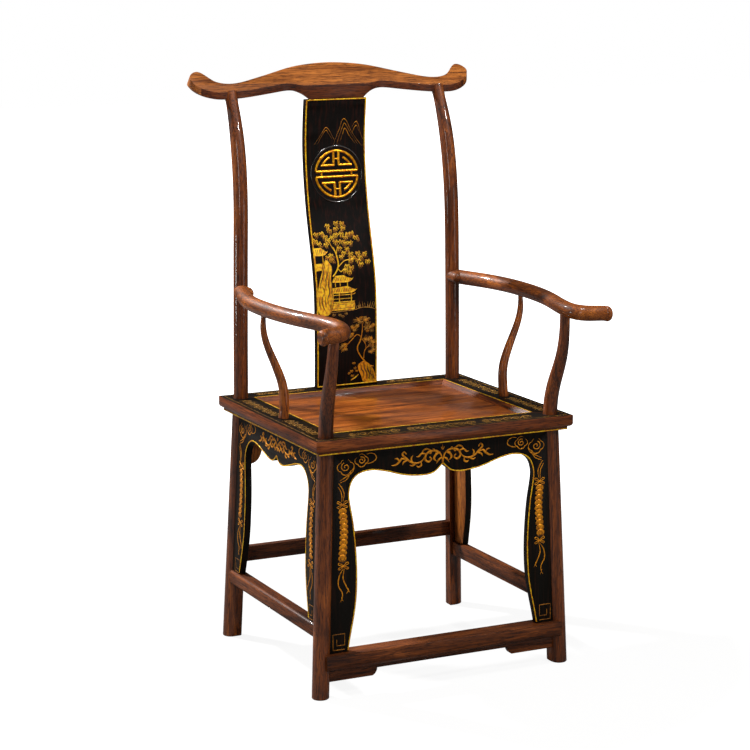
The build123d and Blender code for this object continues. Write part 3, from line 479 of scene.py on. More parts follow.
# ---- faces that carry ornament ------------------------------------------------------------
class FlatFace:
    """A flat face, with its own directions across, up and out."""

    def __init__(self, origin: Vector, across: Vector, out: Vector) -> None:
        """Keep the directions; up is square to the other two.

        Args:
            origin: Where the drawing's (0, 0) lies, in the seat's own millimetres.
            across: The way the drawing's u runs.
            out: The way the face looks.
        """
        self.origin = origin
        self.across = across.normalized()
        self.out = out.normalized()
        self.up = self.out.cross(self.across)

    def place(self, u: float, v: float, height: float) -> Vector:
        """The point at u across, v up and a height off the face, in metres."""
        spot = self.origin + self.across * u + self.up * v + self.out * height
        return Vector((spot.x, spot.y + SEAT_SHIFT, spot.z)) * MM


class SplatFace:
    """The curved front face of the splat, read from its solid."""

    span = 0.004  # metres up and down over which the slope is taken
    edge = 1e-5  # metres within which a corner counts as on the left edge
    facing = -0.5  # a face whose normal has a smaller y looks forward

    def __init__(self, solid: Object) -> None:
        """Take the height and depth of the front face along one edge.

        Args:
            solid: The splat's object.
        """
        mesh = solid.data
        left = min(v.co.x for v in mesh.vertices)
        found: dict[float, float] = {}
        for face in mesh.polygons:
            if face.normal.y < self.facing:
                for spot in (mesh.vertices[index].co for index in face.vertices):
                    if abs(spot.x - left) < self.edge:
                        found[round(spot.z, 6)] = spot.y
        self.heights = sorted(found)
        self.depths = [found[z] for z in self.heights]

    def depth(self, height: float) -> float:
        """How far back the face is at a height, both in metres.

        Args:
            height: Height above the floor, in metres.

        Returns:
            The face's y at that height, in metres.
        """
        heights, depths = self.heights, self.depths
        i = next((i for i, z in enumerate(heights) if i and height <= z), len(heights) - 1)
        share = (height - heights[i - 1]) / (heights[i] - heights[i - 1])
        return depths[i - 1] + (depths[i] - depths[i - 1]) * share

    def place(self, u: float, v: float, height: float) -> Vector:
        """The point u across, at height v of the chair, and a height off the face.

        Args:
            u: Distance to the right of the middle, in millimetres.
            v: Height above the floor, in millimetres.
            height: Distance off the face, in millimetres.

        Returns:
            The point, in metres.
        """
        z = v * MM
        slope = (self.depth(z + self.span) - self.depth(z - self.span)) / (2 * self.span)
        out = Vector((0.0, -1.0, slope)).normalized()
        return Vector((u * MM, self.depth(z), z)) + out * (height * MM)


# ---- geometry nodes that raise the flat drawing -------------------------------------------
class ReliefKind(Enum):
    """What a drawing's mark becomes."""

    LINE = "gilt_line"
    AREA = "gilt_area"
    DISC = "gilt_disc"


class ReliefNodes:
    """The node trees that turn edges, outlines and points into low relief."""

    line_steps = 5
    area_steps = 12
    area_cuts = 2
    area_rise = 0.35
    area_sink = 0.12
    disc_scale = (1.0, 0.92, 0.1)
    disc_tilt = 0.12

    def __init__(self) -> None:
        """Build the three trees once."""
        makers = {
            ReliefKind.LINE: self.lines,
            ReliefKind.AREA: self.areas,
            ReliefKind.DISC: self.discs,
        }
        self.trees = {kind: self.tree(kind, make) for kind, make in makers.items()}

    @staticmethod
    def tree(kind: ReliefKind, make: Callable[[Adder, Node], Node]) -> NodeTree:
        """Open a tree, let a maker fill it, and give what it makes its finish.

        Args:
            kind: The relief the tree makes; it names the tree.
            make: The method that adds the nodes and returns the last one.

        Returns:
            The finished tree.
        """
        tree = bpy.data.node_groups.new(kind.value, "GeometryNodeTree")
        tree.is_modifier = True
        for name, way, socket in (
            ("Geometry", "INPUT", "Geometry"),
            ("Geometry", "OUTPUT", "Geometry"),
            ("Finish", "INPUT", "Material"),
            ("Smooth", "INPUT", "Bool"),
            ("Flatness", "INPUT", "Float"),
        ):
            tree.interface.new_socket(name, in_out=way, socket_type=f"NodeSocket{socket}")
        add = partial(add_node, tree)
        source = add("NodeGroupInput")
        real = add("GeometryNodeRealizeInstances", {"Geometry": make(add, source)})
        inputs = {"Geometry": real, "Material": source.outputs["Finish"]}
        add("NodeGroupOutput", {0: add("GeometryNodeSetMaterial", inputs)})
        return tree

    @staticmethod
    def curves(add: Adder, source: Node, steps: int) -> Node:
        """The marks as curves; smooth ones bend through their points.

        Args:
            add: Adds a node to the tree.
            source: The tree's input node.
            steps: Steps from one point of a smooth mark to the next.

        Returns:
            The node that gives the curves.
        """
        straight = add("GeometryNodeMeshToCurve", {0: source})
        inputs = {"Curve": straight}
        bent = add("GeometryNodeCurveSplineType", inputs, spline_type="CATMULL_ROM")
        fine = add("GeometryNodeSetSplineResolution", {0: bent, "Resolution": steps})
        choice = {"Switch": source.outputs["Smooth"], "False": straight, "True": fine}
        return add("GeometryNodeSwitch", choice, input_type="GEOMETRY")

    @staticmethod
    def width(add: Adder) -> Node:
        """The width that each point carries."""
        return add("GeometryNodeInputNamedAttribute", {"Name": "width"}, data_type="FLOAT")

    def lines(self, add: Adder, source: Node) -> Node:
        """Edges with a width become low rounded lines.

        Args:
            add: Adds a node to the tree.
            source: The tree's input node.

        Returns:
            The node that gives the relief.
        """
        marks = {0: self.curves(add, source, self.line_steps)}
        level = add("GeometryNodeSetCurveNormal", marks, mode="Z_UP")
        ring = add("GeometryNodeCurvePrimitiveCircle", {"Resolution": 8, "Radius": 0.5})
        scale = {"X": 1.0, "Y": source.outputs["Flatness"], "Z": 1.0}
        squash = add("ShaderNodeCombineXYZ", scale)
        section = add("GeometryNodeTransform", {0: ring, "Scale": squash})
        inputs = {"Curve": level, "Profile Curve": section, "Scale": self.width(add)}
        return add("GeometryNodeCurveToMesh", {**inputs, "Fill Caps": True})

    def areas(self, add: Adder, source: Node) -> Node:
        """Closed outlines become thin slabs, fine enough to bend with the face.

        Args:
            add: Adds a node to the tree.
            source: The tree's input node.

        Returns:
            The node that gives the relief.
        """
        marks = {0: self.curves(add, source, self.area_steps)}
        filled = add("GeometryNodeFillCurve", marks)
        inputs = {"Mesh": filled, "Level": self.area_cuts}
        cut = add("GeometryNodeSubdivideMesh", inputs)
        rise = add("ShaderNodeCombineXYZ", {"Z": self.area_rise})
        inputs = {"Mesh": cut, "Offset": rise, "Individual": False}
        raised = add("GeometryNodeExtrudeMesh", inputs, mode="FACES")
        base = add("GeometryNodeFlipFaces", {0: cut})
        both = add("GeometryNodeJoinGeometry", {0: raised})
        feed(both, {0: base})
        inputs = {0: both, "Distance": 0.0001}
        closed = add("GeometryNodeMergeByDistance", inputs)
        inputs = {0: closed, "Translation": (0, 0, -self.area_sink)}
        return add("GeometryNodeTransform", inputs)

    def discs(self, add: Adder, source: Node) -> Node:
        """Points with a width become low tilted saucers that overlap like a chain.

        Args:
            add: Adds a node to the tree.
            source: The tree's input node.

        Returns:
            The node that gives the relief.
        """
        inputs = {"Segments": 14, "Rings": 7, "Radius": 0.5}
        dome = add("GeometryNodeMeshUVSphere", inputs)
        saucer = add("GeometryNodeTransform", {0: dome, "Scale": self.disc_scale})
        tilt = add("ShaderNodeCombineXYZ", {"X": self.disc_tilt})
        inputs = {"Points": source, "Instance": saucer, "Rotation": tilt, "Scale": self.width(add)}
        return add("GeometryNodeInstanceOnPoints", inputs)

    def raise_mesh(self, kind: ReliefKind, flat: Mesh, inputs: dict[str, object]) -> Mesh:
        """Run a tree on a flat mesh and keep the plain result.

        Args:
            kind: The relief to make.
            flat: The drawn marks, in millimetres.
            inputs: The tree's finish, smoothness and flatness by name.

        Returns:
            The raised mesh, still flat in its own frame.
        """
        holder = add_object("marks", flat)
        modifier = holder.modifiers.new("relief", "NODES")
        modifier.node_group = self.trees[kind]
        for socket in modifier.node_group.interface.items_tree:
            if socket.in_out == "INPUT" and socket.name in inputs:
                modifier[socket.identifier] = inputs[socket.name]
        made = evaluated(holder)
        bpy.data.objects.remove(holder)
        bpy.data.meshes.remove(flat)
        return made


# ---- drawings -----------------------------------------------------------------------------
@dataclass
class Mark:
    """One drawn thing: its points, their widths, and how it is raised."""

    kind: ReliefKind
    points: list[Point]
    widths: list[float]
    gilt: Finish
    smooth: bool = True
    closed: bool = False
    lift: float = 0.0


@dataclass
class Drawing:
    """A flat drawing in millimetres, made of marks."""

    marks: list[Mark] = field(default_factory=list)
    straight_step: float = 8.0

    def line(
        self,
        points: str | Sequence[Point],
        width: float,
        gilt: Finish,
        smooth: bool = True,
        closed: bool = False,
        ends: tuple[float, float] = (1.0, 1.0),
        lift: float = 0.0,
    ) -> None:
        """Draw a line that may taper towards its ends.

        Args:
            points: The points it passes.
            width: Its width in the middle.
            gilt: The gold it is drawn with.
            smooth: Whether it curves through its points.
            closed: Whether it joins its start.
            ends: Share of the width at its start and end.
            lift: Extra height above the face.
        """
        run = path(points) if smooth else self.split(path(points), closed)
        last = max(1, len(run) - 1)
        widths = []
        for i in range(len(run)):
            share = i / last
            start = ends[0] + (1 - ends[0]) * min(1.0, share * 3)
            finish = ends[1] + (1 - ends[1]) * min(1.0, (1 - share) * 3)
            widths.append(width * min(start, finish))
        self.marks.append(Mark(ReliefKind.LINE, run, widths, gilt, smooth, closed, lift))

    def strokes(self, gilt: Finish, *runs: tuple[float, str], **style: object) -> None:
        """Draw lines of one gold and style; each is a width and its points."""
        for width, points in runs:
            self.line(points, width, gilt, **style)

    def split(self, points: list[Point], closed: bool) -> list[Point]:
        """Cut long straight runs, so that they can follow a curved face.

        Args:
            points: The corners of a straight stroke.
            closed: Whether it runs back to its first point.

        Returns:
            The corners, with points between them.
        """
        run: list[Point] = []
        for (ax, ay), (bx, by) in zip(points, points[1:] + (points[:1] if closed else [])):
            count = max(1, int(math.hypot(bx - ax, by - ay) // self.straight_step))
            run += [(ax + (bx - ax) * i / count, ay + (by - ay) * i / count) for i in range(count)]
        return run if closed else run + [points[-1]]

    def area(
        self, points: str | Sequence[Point], gilt: Finish, smooth: bool = True, lift: float = 0.0
    ) -> None:
        """Fill an outline with gold."""
        run = path(points)
        self.marks.append(Mark(ReliefKind.AREA, run, [1.0] * len(run), gilt, smooth, True, lift))

    def disc(self, centre: Point, width: float, gilt: Finish) -> None:
        """Set one saucer of a chain."""
        self.marks.append(Mark(ReliefKind.DISC, [centre], [width], gilt))

    def moved(
        self, dx: float = 0.0, dy: float = 0.0, flip: bool = False, size: float = 1.0
    ) -> Drawing:
        """A copy that is mirrored, scaled and then moved; widths stay.

        Args:
            dx: Way to the right, in millimetres.
            dy: Way up, in millimetres.
            flip: Whether the copy is mirrored left to right.
            size: Scale of the copy.

        Returns:
            The copy.
        """
        sign = -size if flip else size
        return Drawing([
            replace(mark, points=[(sign * x + dx, size * y + dy) for x, y in mark.points])
            for mark in self.marks
        ])

    def add(self, other: Drawing) -> None:
        """Take over the marks of another drawing."""
        self.marks += other.marks


def flat_mesh(marks: Sequence[Mark]) -> Mesh:
    """Marks of one kind as points and edges, with their widths.

    Args:
        marks: Marks that are all of one kind.

    Returns:
        The mesh.
    """
    spots: list[Spot] = []
    edges: list[tuple[int, int]] = []
    widths: list[float] = []
    for mark in marks:
        first, last = len(spots), len(spots) + len(mark.points) - 1
        spots += [(x, y, mark.lift) for x, y in mark.points]
        widths += mark.widths
        edges += [(i, i + 1) for i in range(first, last)]
        if mark.closed:
            edges.append((last, first))
    mesh = bpy.data.meshes.new("marks")
    mesh.from_pydata(spots, edges, [])
    mesh.attributes.new("width", "FLOAT", "POINT").data.foreach_set("value", widths)
    return mesh


class Gilder:
    """Lays drawings on faces, one finished piece for each drawing."""

    def __init__(self) -> None:
        """Build the relief trees."""
        self.nodes = ReliefNodes()

    def lay(
        self,
        name: str,
        drawing: Drawing,
        face: FlatFace | SplatFace,
        slot: str,
        flatness: float = 0.36,
    ) -> Object:
        """Raise a drawing and bend it onto a face.

        Args:
            name: The piece's name.
            drawing: What is drawn.
            face: The face that carries it.
            slot: Not used.
            flatness: Height of a line as a share of its width.

        Returns:
            The finished piece, riding on the chair.
        """
        joined = bmesh.new()
        finishes: list[Material] = []
        groups: dict[tuple[ReliefKind, Finish, bool], list[Mark]] = {}
        for mark in drawing.marks:
            groups.setdefault((mark.kind, mark.gilt, mark.smooth), []).append(mark)
        for (kind, gilt, smooth), marks in groups.items():
            finish = gilt.material()
            if finish not in finishes:
                finishes.append(finish)
            inputs = {"Finish": finish, "Smooth": smooth, "Flatness": flatness}
            raised = self.nodes.raise_mesh(kind, flat_mesh(marks), inputs)
            for polygon in raised.polygons:
                polygon.material_index = finishes.index(finish)
                polygon.use_smooth = kind is not ReliefKind.AREA
            joined.from_mesh(raised)
            bpy.data.meshes.remove(raised)
        for vertex in joined.verts:
            vertex.co = face.place(*vertex.co)
        mesh = bpy.data.meshes.new(name)
        joined.to_mesh(mesh)
        joined.free()
        for finish in finishes:
            mesh.materials.append(finish)
        piece = add_object(name, mesh)
        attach(piece, "root")
        LOG.info("%s: %d faces", name, len(mesh.polygons))
        return piece


# ---- pieces made from the solids ----------------------------------------------------------
@dataclass
class Joinery:
    """Turns solids into finished members with softened arrises."""

    nodes: dict[str, Object]
    merge: float = 2e-6
    flat_angle: float = math.radians(0.08)
    arris_angle: float = math.radians(30)
    sharp_angle: float = math.radians(38)

    def soften(
        self, node: str, name: str, arris: float, materials: Sequence[Material], slot: str
    ) -> Object:
        """Copy a solid, merge its triangles and round its arrises.

        Args:
            node: The solid to copy.
            name: The new piece's name.
            arris: Width of the rounding in mm.
            materials: The piece's materials; the first is on every face.
            slot: Not used.

        Returns:
            The finished piece, which stands for the solid.
        """
        source = self.nodes[node].data
        mesh = bpy.data.meshes.new(name)
        corners = [v.co[:] for v in source.vertices]
        mesh.from_pydata(corners, [], [p.vertices[:] for p in source.polygons])
        work = bmesh.new()
        work.from_mesh(mesh)
        bmesh.ops.remove_doubles(work, verts=work.verts, dist=self.merge)
        bmesh.ops.dissolve_limit(
            work, angle_limit=self.flat_angle, verts=work.verts, edges=work.edges
        )
        work.to_mesh(mesh)
        work.free()
        piece = add_object(name, mesh)
        rounding = piece.modifiers.new("arris", "BEVEL")
        rounding.width = arris * MM
        rounding.segments = 2
        rounding.limit_method = "ANGLE"
        rounding.angle_limit = self.arris_angle
        rounded = evaluated(piece)
        piece.modifiers.clear()
        piece.data = rounded
        rounded.name = name
        bpy.data.meshes.remove(mesh)
        rounded.shade_smooth()
        rounded.set_sharp_from_angle(angle=self.sharp_angle)
        rounded.materials.clear()
        for material in materials:
            rounded.materials.append(material)
        for polygon in rounded.polygons:
            polygon.material_index = 0
        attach(piece, "root")
        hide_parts(node)
        LOG.info("%s: %d faces", name, len(rounded.polygons))
        return piece

    @staticmethod
    def repaint(piece: Object, toward: Vector, share: float, low: float = -1.0) -> None:
        """Give the second material to the faces that look a certain way, above a height.

        Args:
            piece: The piece, with two materials.
            toward: The way the faces look.
            share: How closely they have to look that way; 1 is exactly.
            low: The height that they lie above, in metres.
        """
        for polygon in piece.data.polygons:
            if polygon.normal.dot(toward) > share and polygon.center.z > low:
                polygon.material_index = 1


@dataclass
class Posts:
    """Legs, arms, arm supports and battens, which keep their solids."""

    nodes: dict[str, Object]

    def dress(self) -> None:
        """Give each member its wood, with the grain along it."""
        for side in ("left", "right"):
            for node, finish, grain in (
                (f"front_leg_post_{side}", POST_WOOD, Grain.UPRIGHT),
                (f"back_leg_post_{side}", POST_WOOD, Grain.UPRIGHT),
                (f"arm_support_{side}", ARM_WOOD, Grain.UPRIGHT),
                (f"armrest_{side}", ARM_WOOD, Grain.DEPTH),
                (f"seat_batten_{side}", PANEL_WOOD, Grain.DEPTH),
            ):
                for place in self.nodes[node].material_slots:
                    place.material = finish.material(grain)
                LOG.info("%s dressed", node)


@dataclass
class Back:
    """The crest rail and the splat with its gilding."""

    joinery: Joinery
    gilder: Gilder
    half_width: float = 69.75
    foot: float = 517.0
    top: float = 1113.0
    medallion: Point = (0.9, 957.8)
    medallion_reach: float = 50.5
    bar: float = 5.4

    def build(self) -> None:
        """Make both boards and lay the splat's ornament."""
        woods = [wood.material(Grain.ACROSS) for wood in (CREST_WOOD, CREST_SHADED_EDGE_WOOD)]
        crest = self.joinery.soften("crest_rail", "crest_rail_oiled", 1.8, woods, "crest_wood")
        # faces that look forward and faces that look down get the darker copy of the wood: painted
        # shade
        self.joinery.repaint(crest, FORWARD, 0.9)
        self.joinery.repaint(crest, -UPWARD, 0.8)
        lacquer, slot = [SPLAT_LACQUER.material()], "splat_lacquer"
        self.joinery.soften("back_splat", "back_splat_lacquered", 0.9, lacquer, slot)
        face = SplatFace(self.joinery.nodes["back_splat"])
        self.gilder.lay("splat_edge_lines", self.edges(), face, slot)
        self.gilder.lay("splat_mountains", self.mountains(), face, slot)
        self.gilder.lay("splat_medallion", self.roundel(), face, slot, flatness=0.85)
        self.gilder.lay("splat_garden", self.garden(), face, slot)
        self.gilder.lay("splat_rock_tree", self.rock_tree(), face, slot)

    def edges(self) -> Drawing:
        """Gold lines along both edges and across both ends.

        Returns:
            The drawing.
        """
        drawing = Drawing()
        edge = self.half_width - 2.0
        for side in (-edge, edge):
            drawing.line([(side, self.foot), (side, self.top)], 3.0, BRIGHT_GILT, smooth=False)
        for height in (self.foot + 0.5, self.top):
            drawing.line([(-edge, height), (edge, height)], 2.4, BRIGHT_GILT, smooth=False)
        return drawing

    def mountains(self) -> Drawing:
        """Three far peaks in thin nested lines, brighter at their crowns.

        Returns:
            The drawing.
        """
        drawing = Drawing()
        for width, points in (
            (1.3, "-48,1020 -36,1036 -28,1048 -22,1055 -15,1050 -8,1038 -1,1027"),
            (1.0, "-41,1021 -31,1037 -25,1046 -21,1049 -17,1044 -8,1031"),
            (1.4, "-5,1016 2,1034 6,1044 10,1052 14,1067 19,1072 25,1067 37,1045 50,1027 62,1013"),
            (1.1, "3,1018 9,1036 14,1049 20,1062 26,1056 36,1040 52,1017"),
            (1.1, "11,1024 17,1040 22,1052 32,1036 47,1018"),
            (1.2, "38,1053 43,1062 48,1065 53,1058 58,1040 64,1027"),
            (1.0, "39,1043 46,1056 50,1055 55,1042"),
        ):
            run = path(points)
            drawing.line(run, width, FADED_GILT, ends=(0.35, 0.35))
            crown = max(range(len(run)), key=lambda i: run[i][1])
            peak = run[max(0, crown - 1) : crown + 2]
            drawing.line(peak, width * 1.1, AMBER_GILT, ends=(0.4, 0.4), lift=0.1)
        return drawing

    def roundel(self) -> Drawing:
        """The round longevity sign, in bars, inside a plain lacquered rim.

        Returns:
            The drawing.
        """
        drawing = Drawing()
        (cx, cy), reach, thick = self.medallion, self.medallion_reach, self.bar

        def arc(share: float, start: float, turn: float) -> list[Point]:
            """An arc about the medallion, angles in degrees."""
            return sweep((cx, cy), reach * share, math.radians(start), math.radians(turn), 14)

        for sign in (1, -1):
            drawing.line(arc(0.95, sign * 7, sign * 166), thick, RAISED_GILT)
            # bars from end to end in shares of the reach, with their width
            for left, low, right, high, width in (
                (-0.94, 0.115, 0.94, 0.115, thick),
                (-0.70, 0.36, -0.10, 0.36, thick),
                (0.10, 0.36, 0.70, 0.36, thick),
                (-0.115, 0.34, -0.115, 0.92, thick),
                (0.115, 0.34, 0.115, 0.92, thick),
                (-0.10, 0.62, 0.10, 0.62, 3.4),
            ):
                ends = ((left, low), (right, high))
                run = [(cx + reach * u, cy + reach * sign * v) for u, v in ends]
                drawing.line(run, width, RAISED_GILT, smooth=False)
            for start in (34, 114):
                drawing.line(arc(0.73, sign * start, sign * 32), thick * 0.85, RAISED_GILT)
        for x in (cx - reach * 0.68, cx + reach * 0.68):
            drawing.line([(x, cy - 4.5), (x, cy + 4.5)], 4.0, RAISED_GILT, smooth=False)
        rim = sweep((cx, cy), reach * 1.15, 0.0, math.tau, 40)[:-1]
        drawing.line(rim, 4.2, RIM_LACQUER, closed=True)
        return drawing

    def garden(self) -> Drawing:
        """A pavilion by a tall rock under a spreading tree.

        Returns:
            The drawing.
        """
        drawing = Drawing()
        seeded = random.Random(11)
        self.tree(drawing, seeded)
        self.rock(drawing)
        self.pavilion(drawing)
        # ground and grasses
        ground = "-42,673 -20,674 0,675 18,676 30,679 44,679.5 58,677 66,674"
        drawing.line(ground, 1.3, DULL_GILT, ends=(0.4, 0.4))
        for x in range(22, 64, 5):
            lean = seeded.uniform(-5, 5)
            blade = [(x, 679), (x + lean * 0.4, 685), (x + lean, 686 + seeded.uniform(2, 9))]
            drawing.line(blade, 0.9, DULL_GILT, ends=(1.0, 0.2))
        for spot in path("-30,668 -17,667 -2,669 -10,664 28,682 50,681"):
            self.spray(drawing, spot, 3.4, seeded, DULL_GILT)
        return drawing

    def tree(self, drawing: Drawing, seeded: random.Random) -> None:
        """The spreading tree: trunk, boughs and hanging sprays.

        Args:
            drawing: The drawing that gets it.
            seeded: Seeded random numbers for the sprays.
        """
        drawing.strokes(
            BRIGHT_GILT,
            (3.0, "-29,748 -22,756 -17,764 -14.5,775 -16,789 -19,799 -22,808"),
            (2.0, "-15,767 -7,774 0,779 11,781 23,783"),
            ends=(1.0, 0.4),
        )
        drawing.strokes(
            BRIGHT_GILT,
            (1.8, "-15,779 -17,790 -14,803 -9,812"),
            (1.8, "-19,799 -27,812 -31,824"),
            (1.8, "-17,765 -10,757 -4,761 5,762"),
            ends=(1.0, 0.5),
        )
        for x, y in path(
            "-30,852 -26,842 -10,856 4,855 5,845 -12,845 -58,836 -46,837 -38,830 -61,822 "
            "-54,816 -33,822 -22,828 -38,814 -13,833 0,834 8,827 14,833 23,834 32,825 -2,818 "
            "8,815 18,815 -15,818 -9,805 9,803 1,795 16,792 21,784 -6,788 15,779 32,793 "
            "38,785 48,791 54,775 32,778 38,770 -29,792 -36,787 -29,782 5,768 15,764 1,760 9,756"
        ):
            self.spray(drawing, (x, y), 5.6, seeded)
            self.spray(drawing, (x + seeded.uniform(-5, 5), y - 5.5), 3.8, seeded, FADED_GILT)

    @staticmethod
    def rock(drawing: Drawing) -> None:
        """The tall rock: its body, its facets and its shaded right edge.

        Args:
            drawing: The drawing that gets it.
        """
        edge = "-43,783 -37,780 -30,766 -34,745 -33,728 -32,706 -33,684 -42,669"
        drawing.area(f"{edge} -60,670 -67,684 -66,714 -61,738 -53,760 -48,774", BRIGHT_GILT)
        for width, points in (
            (1.9, "-44,778 -49,764 -53,748 -58,736 -61,722"),
            (1.7, "-38,774 -40,758 -46,744 -47,730 -54,716"),
            (2.0, "-34,760 -38,746 -41,732 -39,716 -44,702 -42,688"),
            (1.9, "-53,714 -57,700 -55,688 -49,676"),
            (1.7, "-62,708 -63,694 -60,682"),
            (1.4, "-47,712 -50,698 -47,684"),
            (1.5, "-36,704 -37,690 -39,678"),
            (1.2, "-57,732 -52,722 -50,708"),
            (1.1, "-43,764 -44,750 -50,738"),
            (1.2, "-36,728 -35,716 -37,708"),
        ):
            drawing.line(points, width * 1.35, SHADOW_GILT, ends=(0.15, 0.15), lift=0.3)
            beside = [(x + 2.2, y - 3) for x, y in path(points)]
            drawing.line(beside, width * 1.2, AMBER_GILT, ends=(0.2, 0.2), lift=0.2)
        drawing.line(edge, 1.6, SHADOW_GILT, ends=(0.4, 0.4), lift=0.2)

    @staticmethod
    def pavilion(drawing: Drawing) -> None:
        """The pavilion with its roofs and terrace, and a house behind the rock.

        Args:
            drawing: The drawing that gets it.
        """
        for outline in (
            "-31,739 -27,745 -24,748 -4,749 4,745 14,742 7,737 3,735 -31,737",
            "-33,724 2,727 10,723 22,718 14,714.5 9,713 -33,713",
            "-39,692 18,692 18,677 -39,677",
        ):
            drawing.area(outline, BRIGHT_GILT, smooth=False)
        drawing.line("-38,694 18,694", 1.8, BRIGHT_GILT, smooth=False)
        for left, right in ((-35, -22), (-20, -4), (-2, 14)):
            panel = [(left, 689), (right, 689), (right, 681), (left, 681)]
            drawing.line(panel, 1.0, SHADOW_GILT, smooth=False, closed=True, lift=0.3)
        # tiles of the three roofs
        for first, end, top, foot, lean, width in (
            (-29, 13, 723, 715, 1.5, 1.1),
            (-26, 6, 746, 739, 1.2, 1.0),
            (-63, -42, 805, 795, 0.8, 1.1),
        ):
            for x in range(first, end, 4):
                drawing.line([(x, top), (x + lean, foot)], width, SHADOW_GILT, lift=0.3)
        drawing.line("-36,709 -22,709 13,709 20,712", 1.3, BRIGHT_GILT)
        drawing.line("-34,701 13,701", 1.0, BRIGHT_GILT, smooth=False)
        for x, low, high in (
            (-31, 694, 713), (-17, 694, 713), (10.5, 694, 713),
            (-25, 727, 736), (-14, 727, 736), (3, 727, 736),
        ):
            drawing.line([(x, low), (x, high)], 1.7, BRIGHT_GILT, smooth=False)
        drawing.strokes(
            BRIGHT_GILT,
            (1.7, "-33,714 -10,713 10,713.5 17,715 24,720"),
            (1.7, "-31,736.5 -10,735.5 5,736 12,739 17,744"),
            (1.7, "-67,793 -50,792.5 -42,795 -36,801"),
            (1.7, "-25,748.5 -4,749.5"),
            ends=(0.7, 0.4),
            lift=0.3,
        )
        # house behind the rock
        roof = "-67,808 -51,808 -44,803 -37,798 -43,794 -48,792 -67,792"
        drawing.area(roof, BRIGHT_GILT, smooth=False)
        for x in (-66.5, -48.5):
            drawing.line([(x, 776), (x, 792)], 2.0, BRIGHT_GILT, smooth=False)
        drawing.area("-67,776 -49.5,776 -54,762 -67,761", BRIGHT_GILT, smooth=False)

    def rock_tree(self) -> Drawing:
        """A bent tree growing from a rock at the foot of the splat.

        Returns:
            The drawing.
        """
        drawing = Drawing()
        seeded = random.Random(5)
        for width, points, ends in (
            (2.6, "38,566 30,577 24,588 24,598 29,607 33,620 35,634 35,646", (1.0, 0.4)),
            (1.7, "31,618 25,622 19,621 11,613 2,605 -6,597 -14,587", (0.8, 0.4)),
            (1.8, "38,570 39,583 43,591 50,596", (1.0, 0.4)),
            (1.4, "33,612 39,606 43,598 42,590", (0.8, 0.4)),
            (2.0, "38,568 45,560 53,554 62,552", (0.8, 0.4)),
        ):
            drawing.line(points, width, AMBER_GILT, ends=ends)
        # tufts of needles: their middles and how far they reach across and up
        for cx, cy, wide, high in (
            (34, 652, 20.4, 7.5), (17, 636, 9.6, 8.75), (50, 637, 14.4, 12.5), (46, 612, 12, 7.5),
            (57, 600, 8.4, 10), (-10, 597, 10.8, 10), (9, 622, 8.4, 5), (57, 583, 8.4, 6.25),
        ):
            count = int(wide * 1.6)
            for i in range(count):
                turn = math.tau * i / count + seeded.uniform(-0.2, 0.2)
                out = seeded.uniform(0.7, 1.1)
                x, y = wide * math.cos(turn), high * math.sin(turn)
                far = (cx + x * out, cy + y * out + seeded.uniform(0, 2))
                gilt = DULL_GILT if i % 3 else AMBER_GILT
                drawing.line([(cx + x * 0.2, cy + y * 0.2), far], 1.3, gilt, ends=(0.5, 0.4))
            for i in range(7):
                x, y = seeded.uniform(-0.8, 0.8) * wide, seeded.uniform(-0.8, 0.8) * high
                gilt = AMBER_GILT if i % 2 else DULL_GILT
                self.spray(drawing, (cx + x, cy + y), 3.4, seeded, gilt)
        # rock, its lit side and its facets
        body = "26,558 38,565 50,558 61,544 66,529 64,519 39,520 32,534 25,549"
        drawing.area(body, AMBER_GILT)
        lit = "44,556 52,553 60,541 64,528 62,521 50,522 45,538"
        drawing.area(lit, BRIGHT_GILT, lift=0.15)
        drawing.strokes(
            SHADOW_GILT,
            (2.3, "31,558 33,548 38,540 37,528"),
            (2.3, "38,562 40,549 45,538 44,524"),
            (2.3, "46,558 47,546 52,536 51,523"),
            (2.3, "55,550 54,538 59,528"),
            (2.3, "60,542 60,532 63,524"),
            ends=(0.15, 0.15),
            lift=0.45,
        )
        drawing.line("9,526 17,530 26,537", 2.4, BRIGHT_GILT, ends=(0.8, 0.3))
        for spot in path("4,541 10,545 18,551 15,562 22,545 12,535"):
            self.spray(drawing, spot, 3.2, seeded, AMBER_GILT)
        return drawing

    @staticmethod
    def spray(
        drawing: Drawing,
        centre: Point,
        reach: float,
        seeded: random.Random,
        gilt: Gilt = BRIGHT_GILT,
    ) -> None:
        """A fan of short leaf strokes that hang from one point.

        Args:
            drawing: The drawing that gets it.
            centre: The point the strokes hang from.
            reach: Length of a stroke, in millimetres.
            seeded: Seeded random numbers.
            gilt: The gold of the strokes.
        """
        cx, cy = centre
        count, first, fan = 6, -215, 250  # strokes, and degrees of the first and of the fan
        lean = seeded.uniform(-28, 28)
        for i in range(count):
            turn = math.radians(first + fan * i / (count - 1) + lean)
            size = reach * seeded.uniform(0.85, 1.2)
            x, y = size * math.cos(turn), size * math.sin(turn)
            middle = (cx + x * 0.55, cy + y * 0.5 + size * 0.3)
            tip = (cx + x, cy + y * 0.8)
            curl = (tip[0] - x * 0.22, tip[1] - size * 0.16)
            run = [(cx, cy + size * 0.15), middle, tip, curl]
            drawing.line(run, reach * 0.23, gilt, ends=(0.4, 0.5))


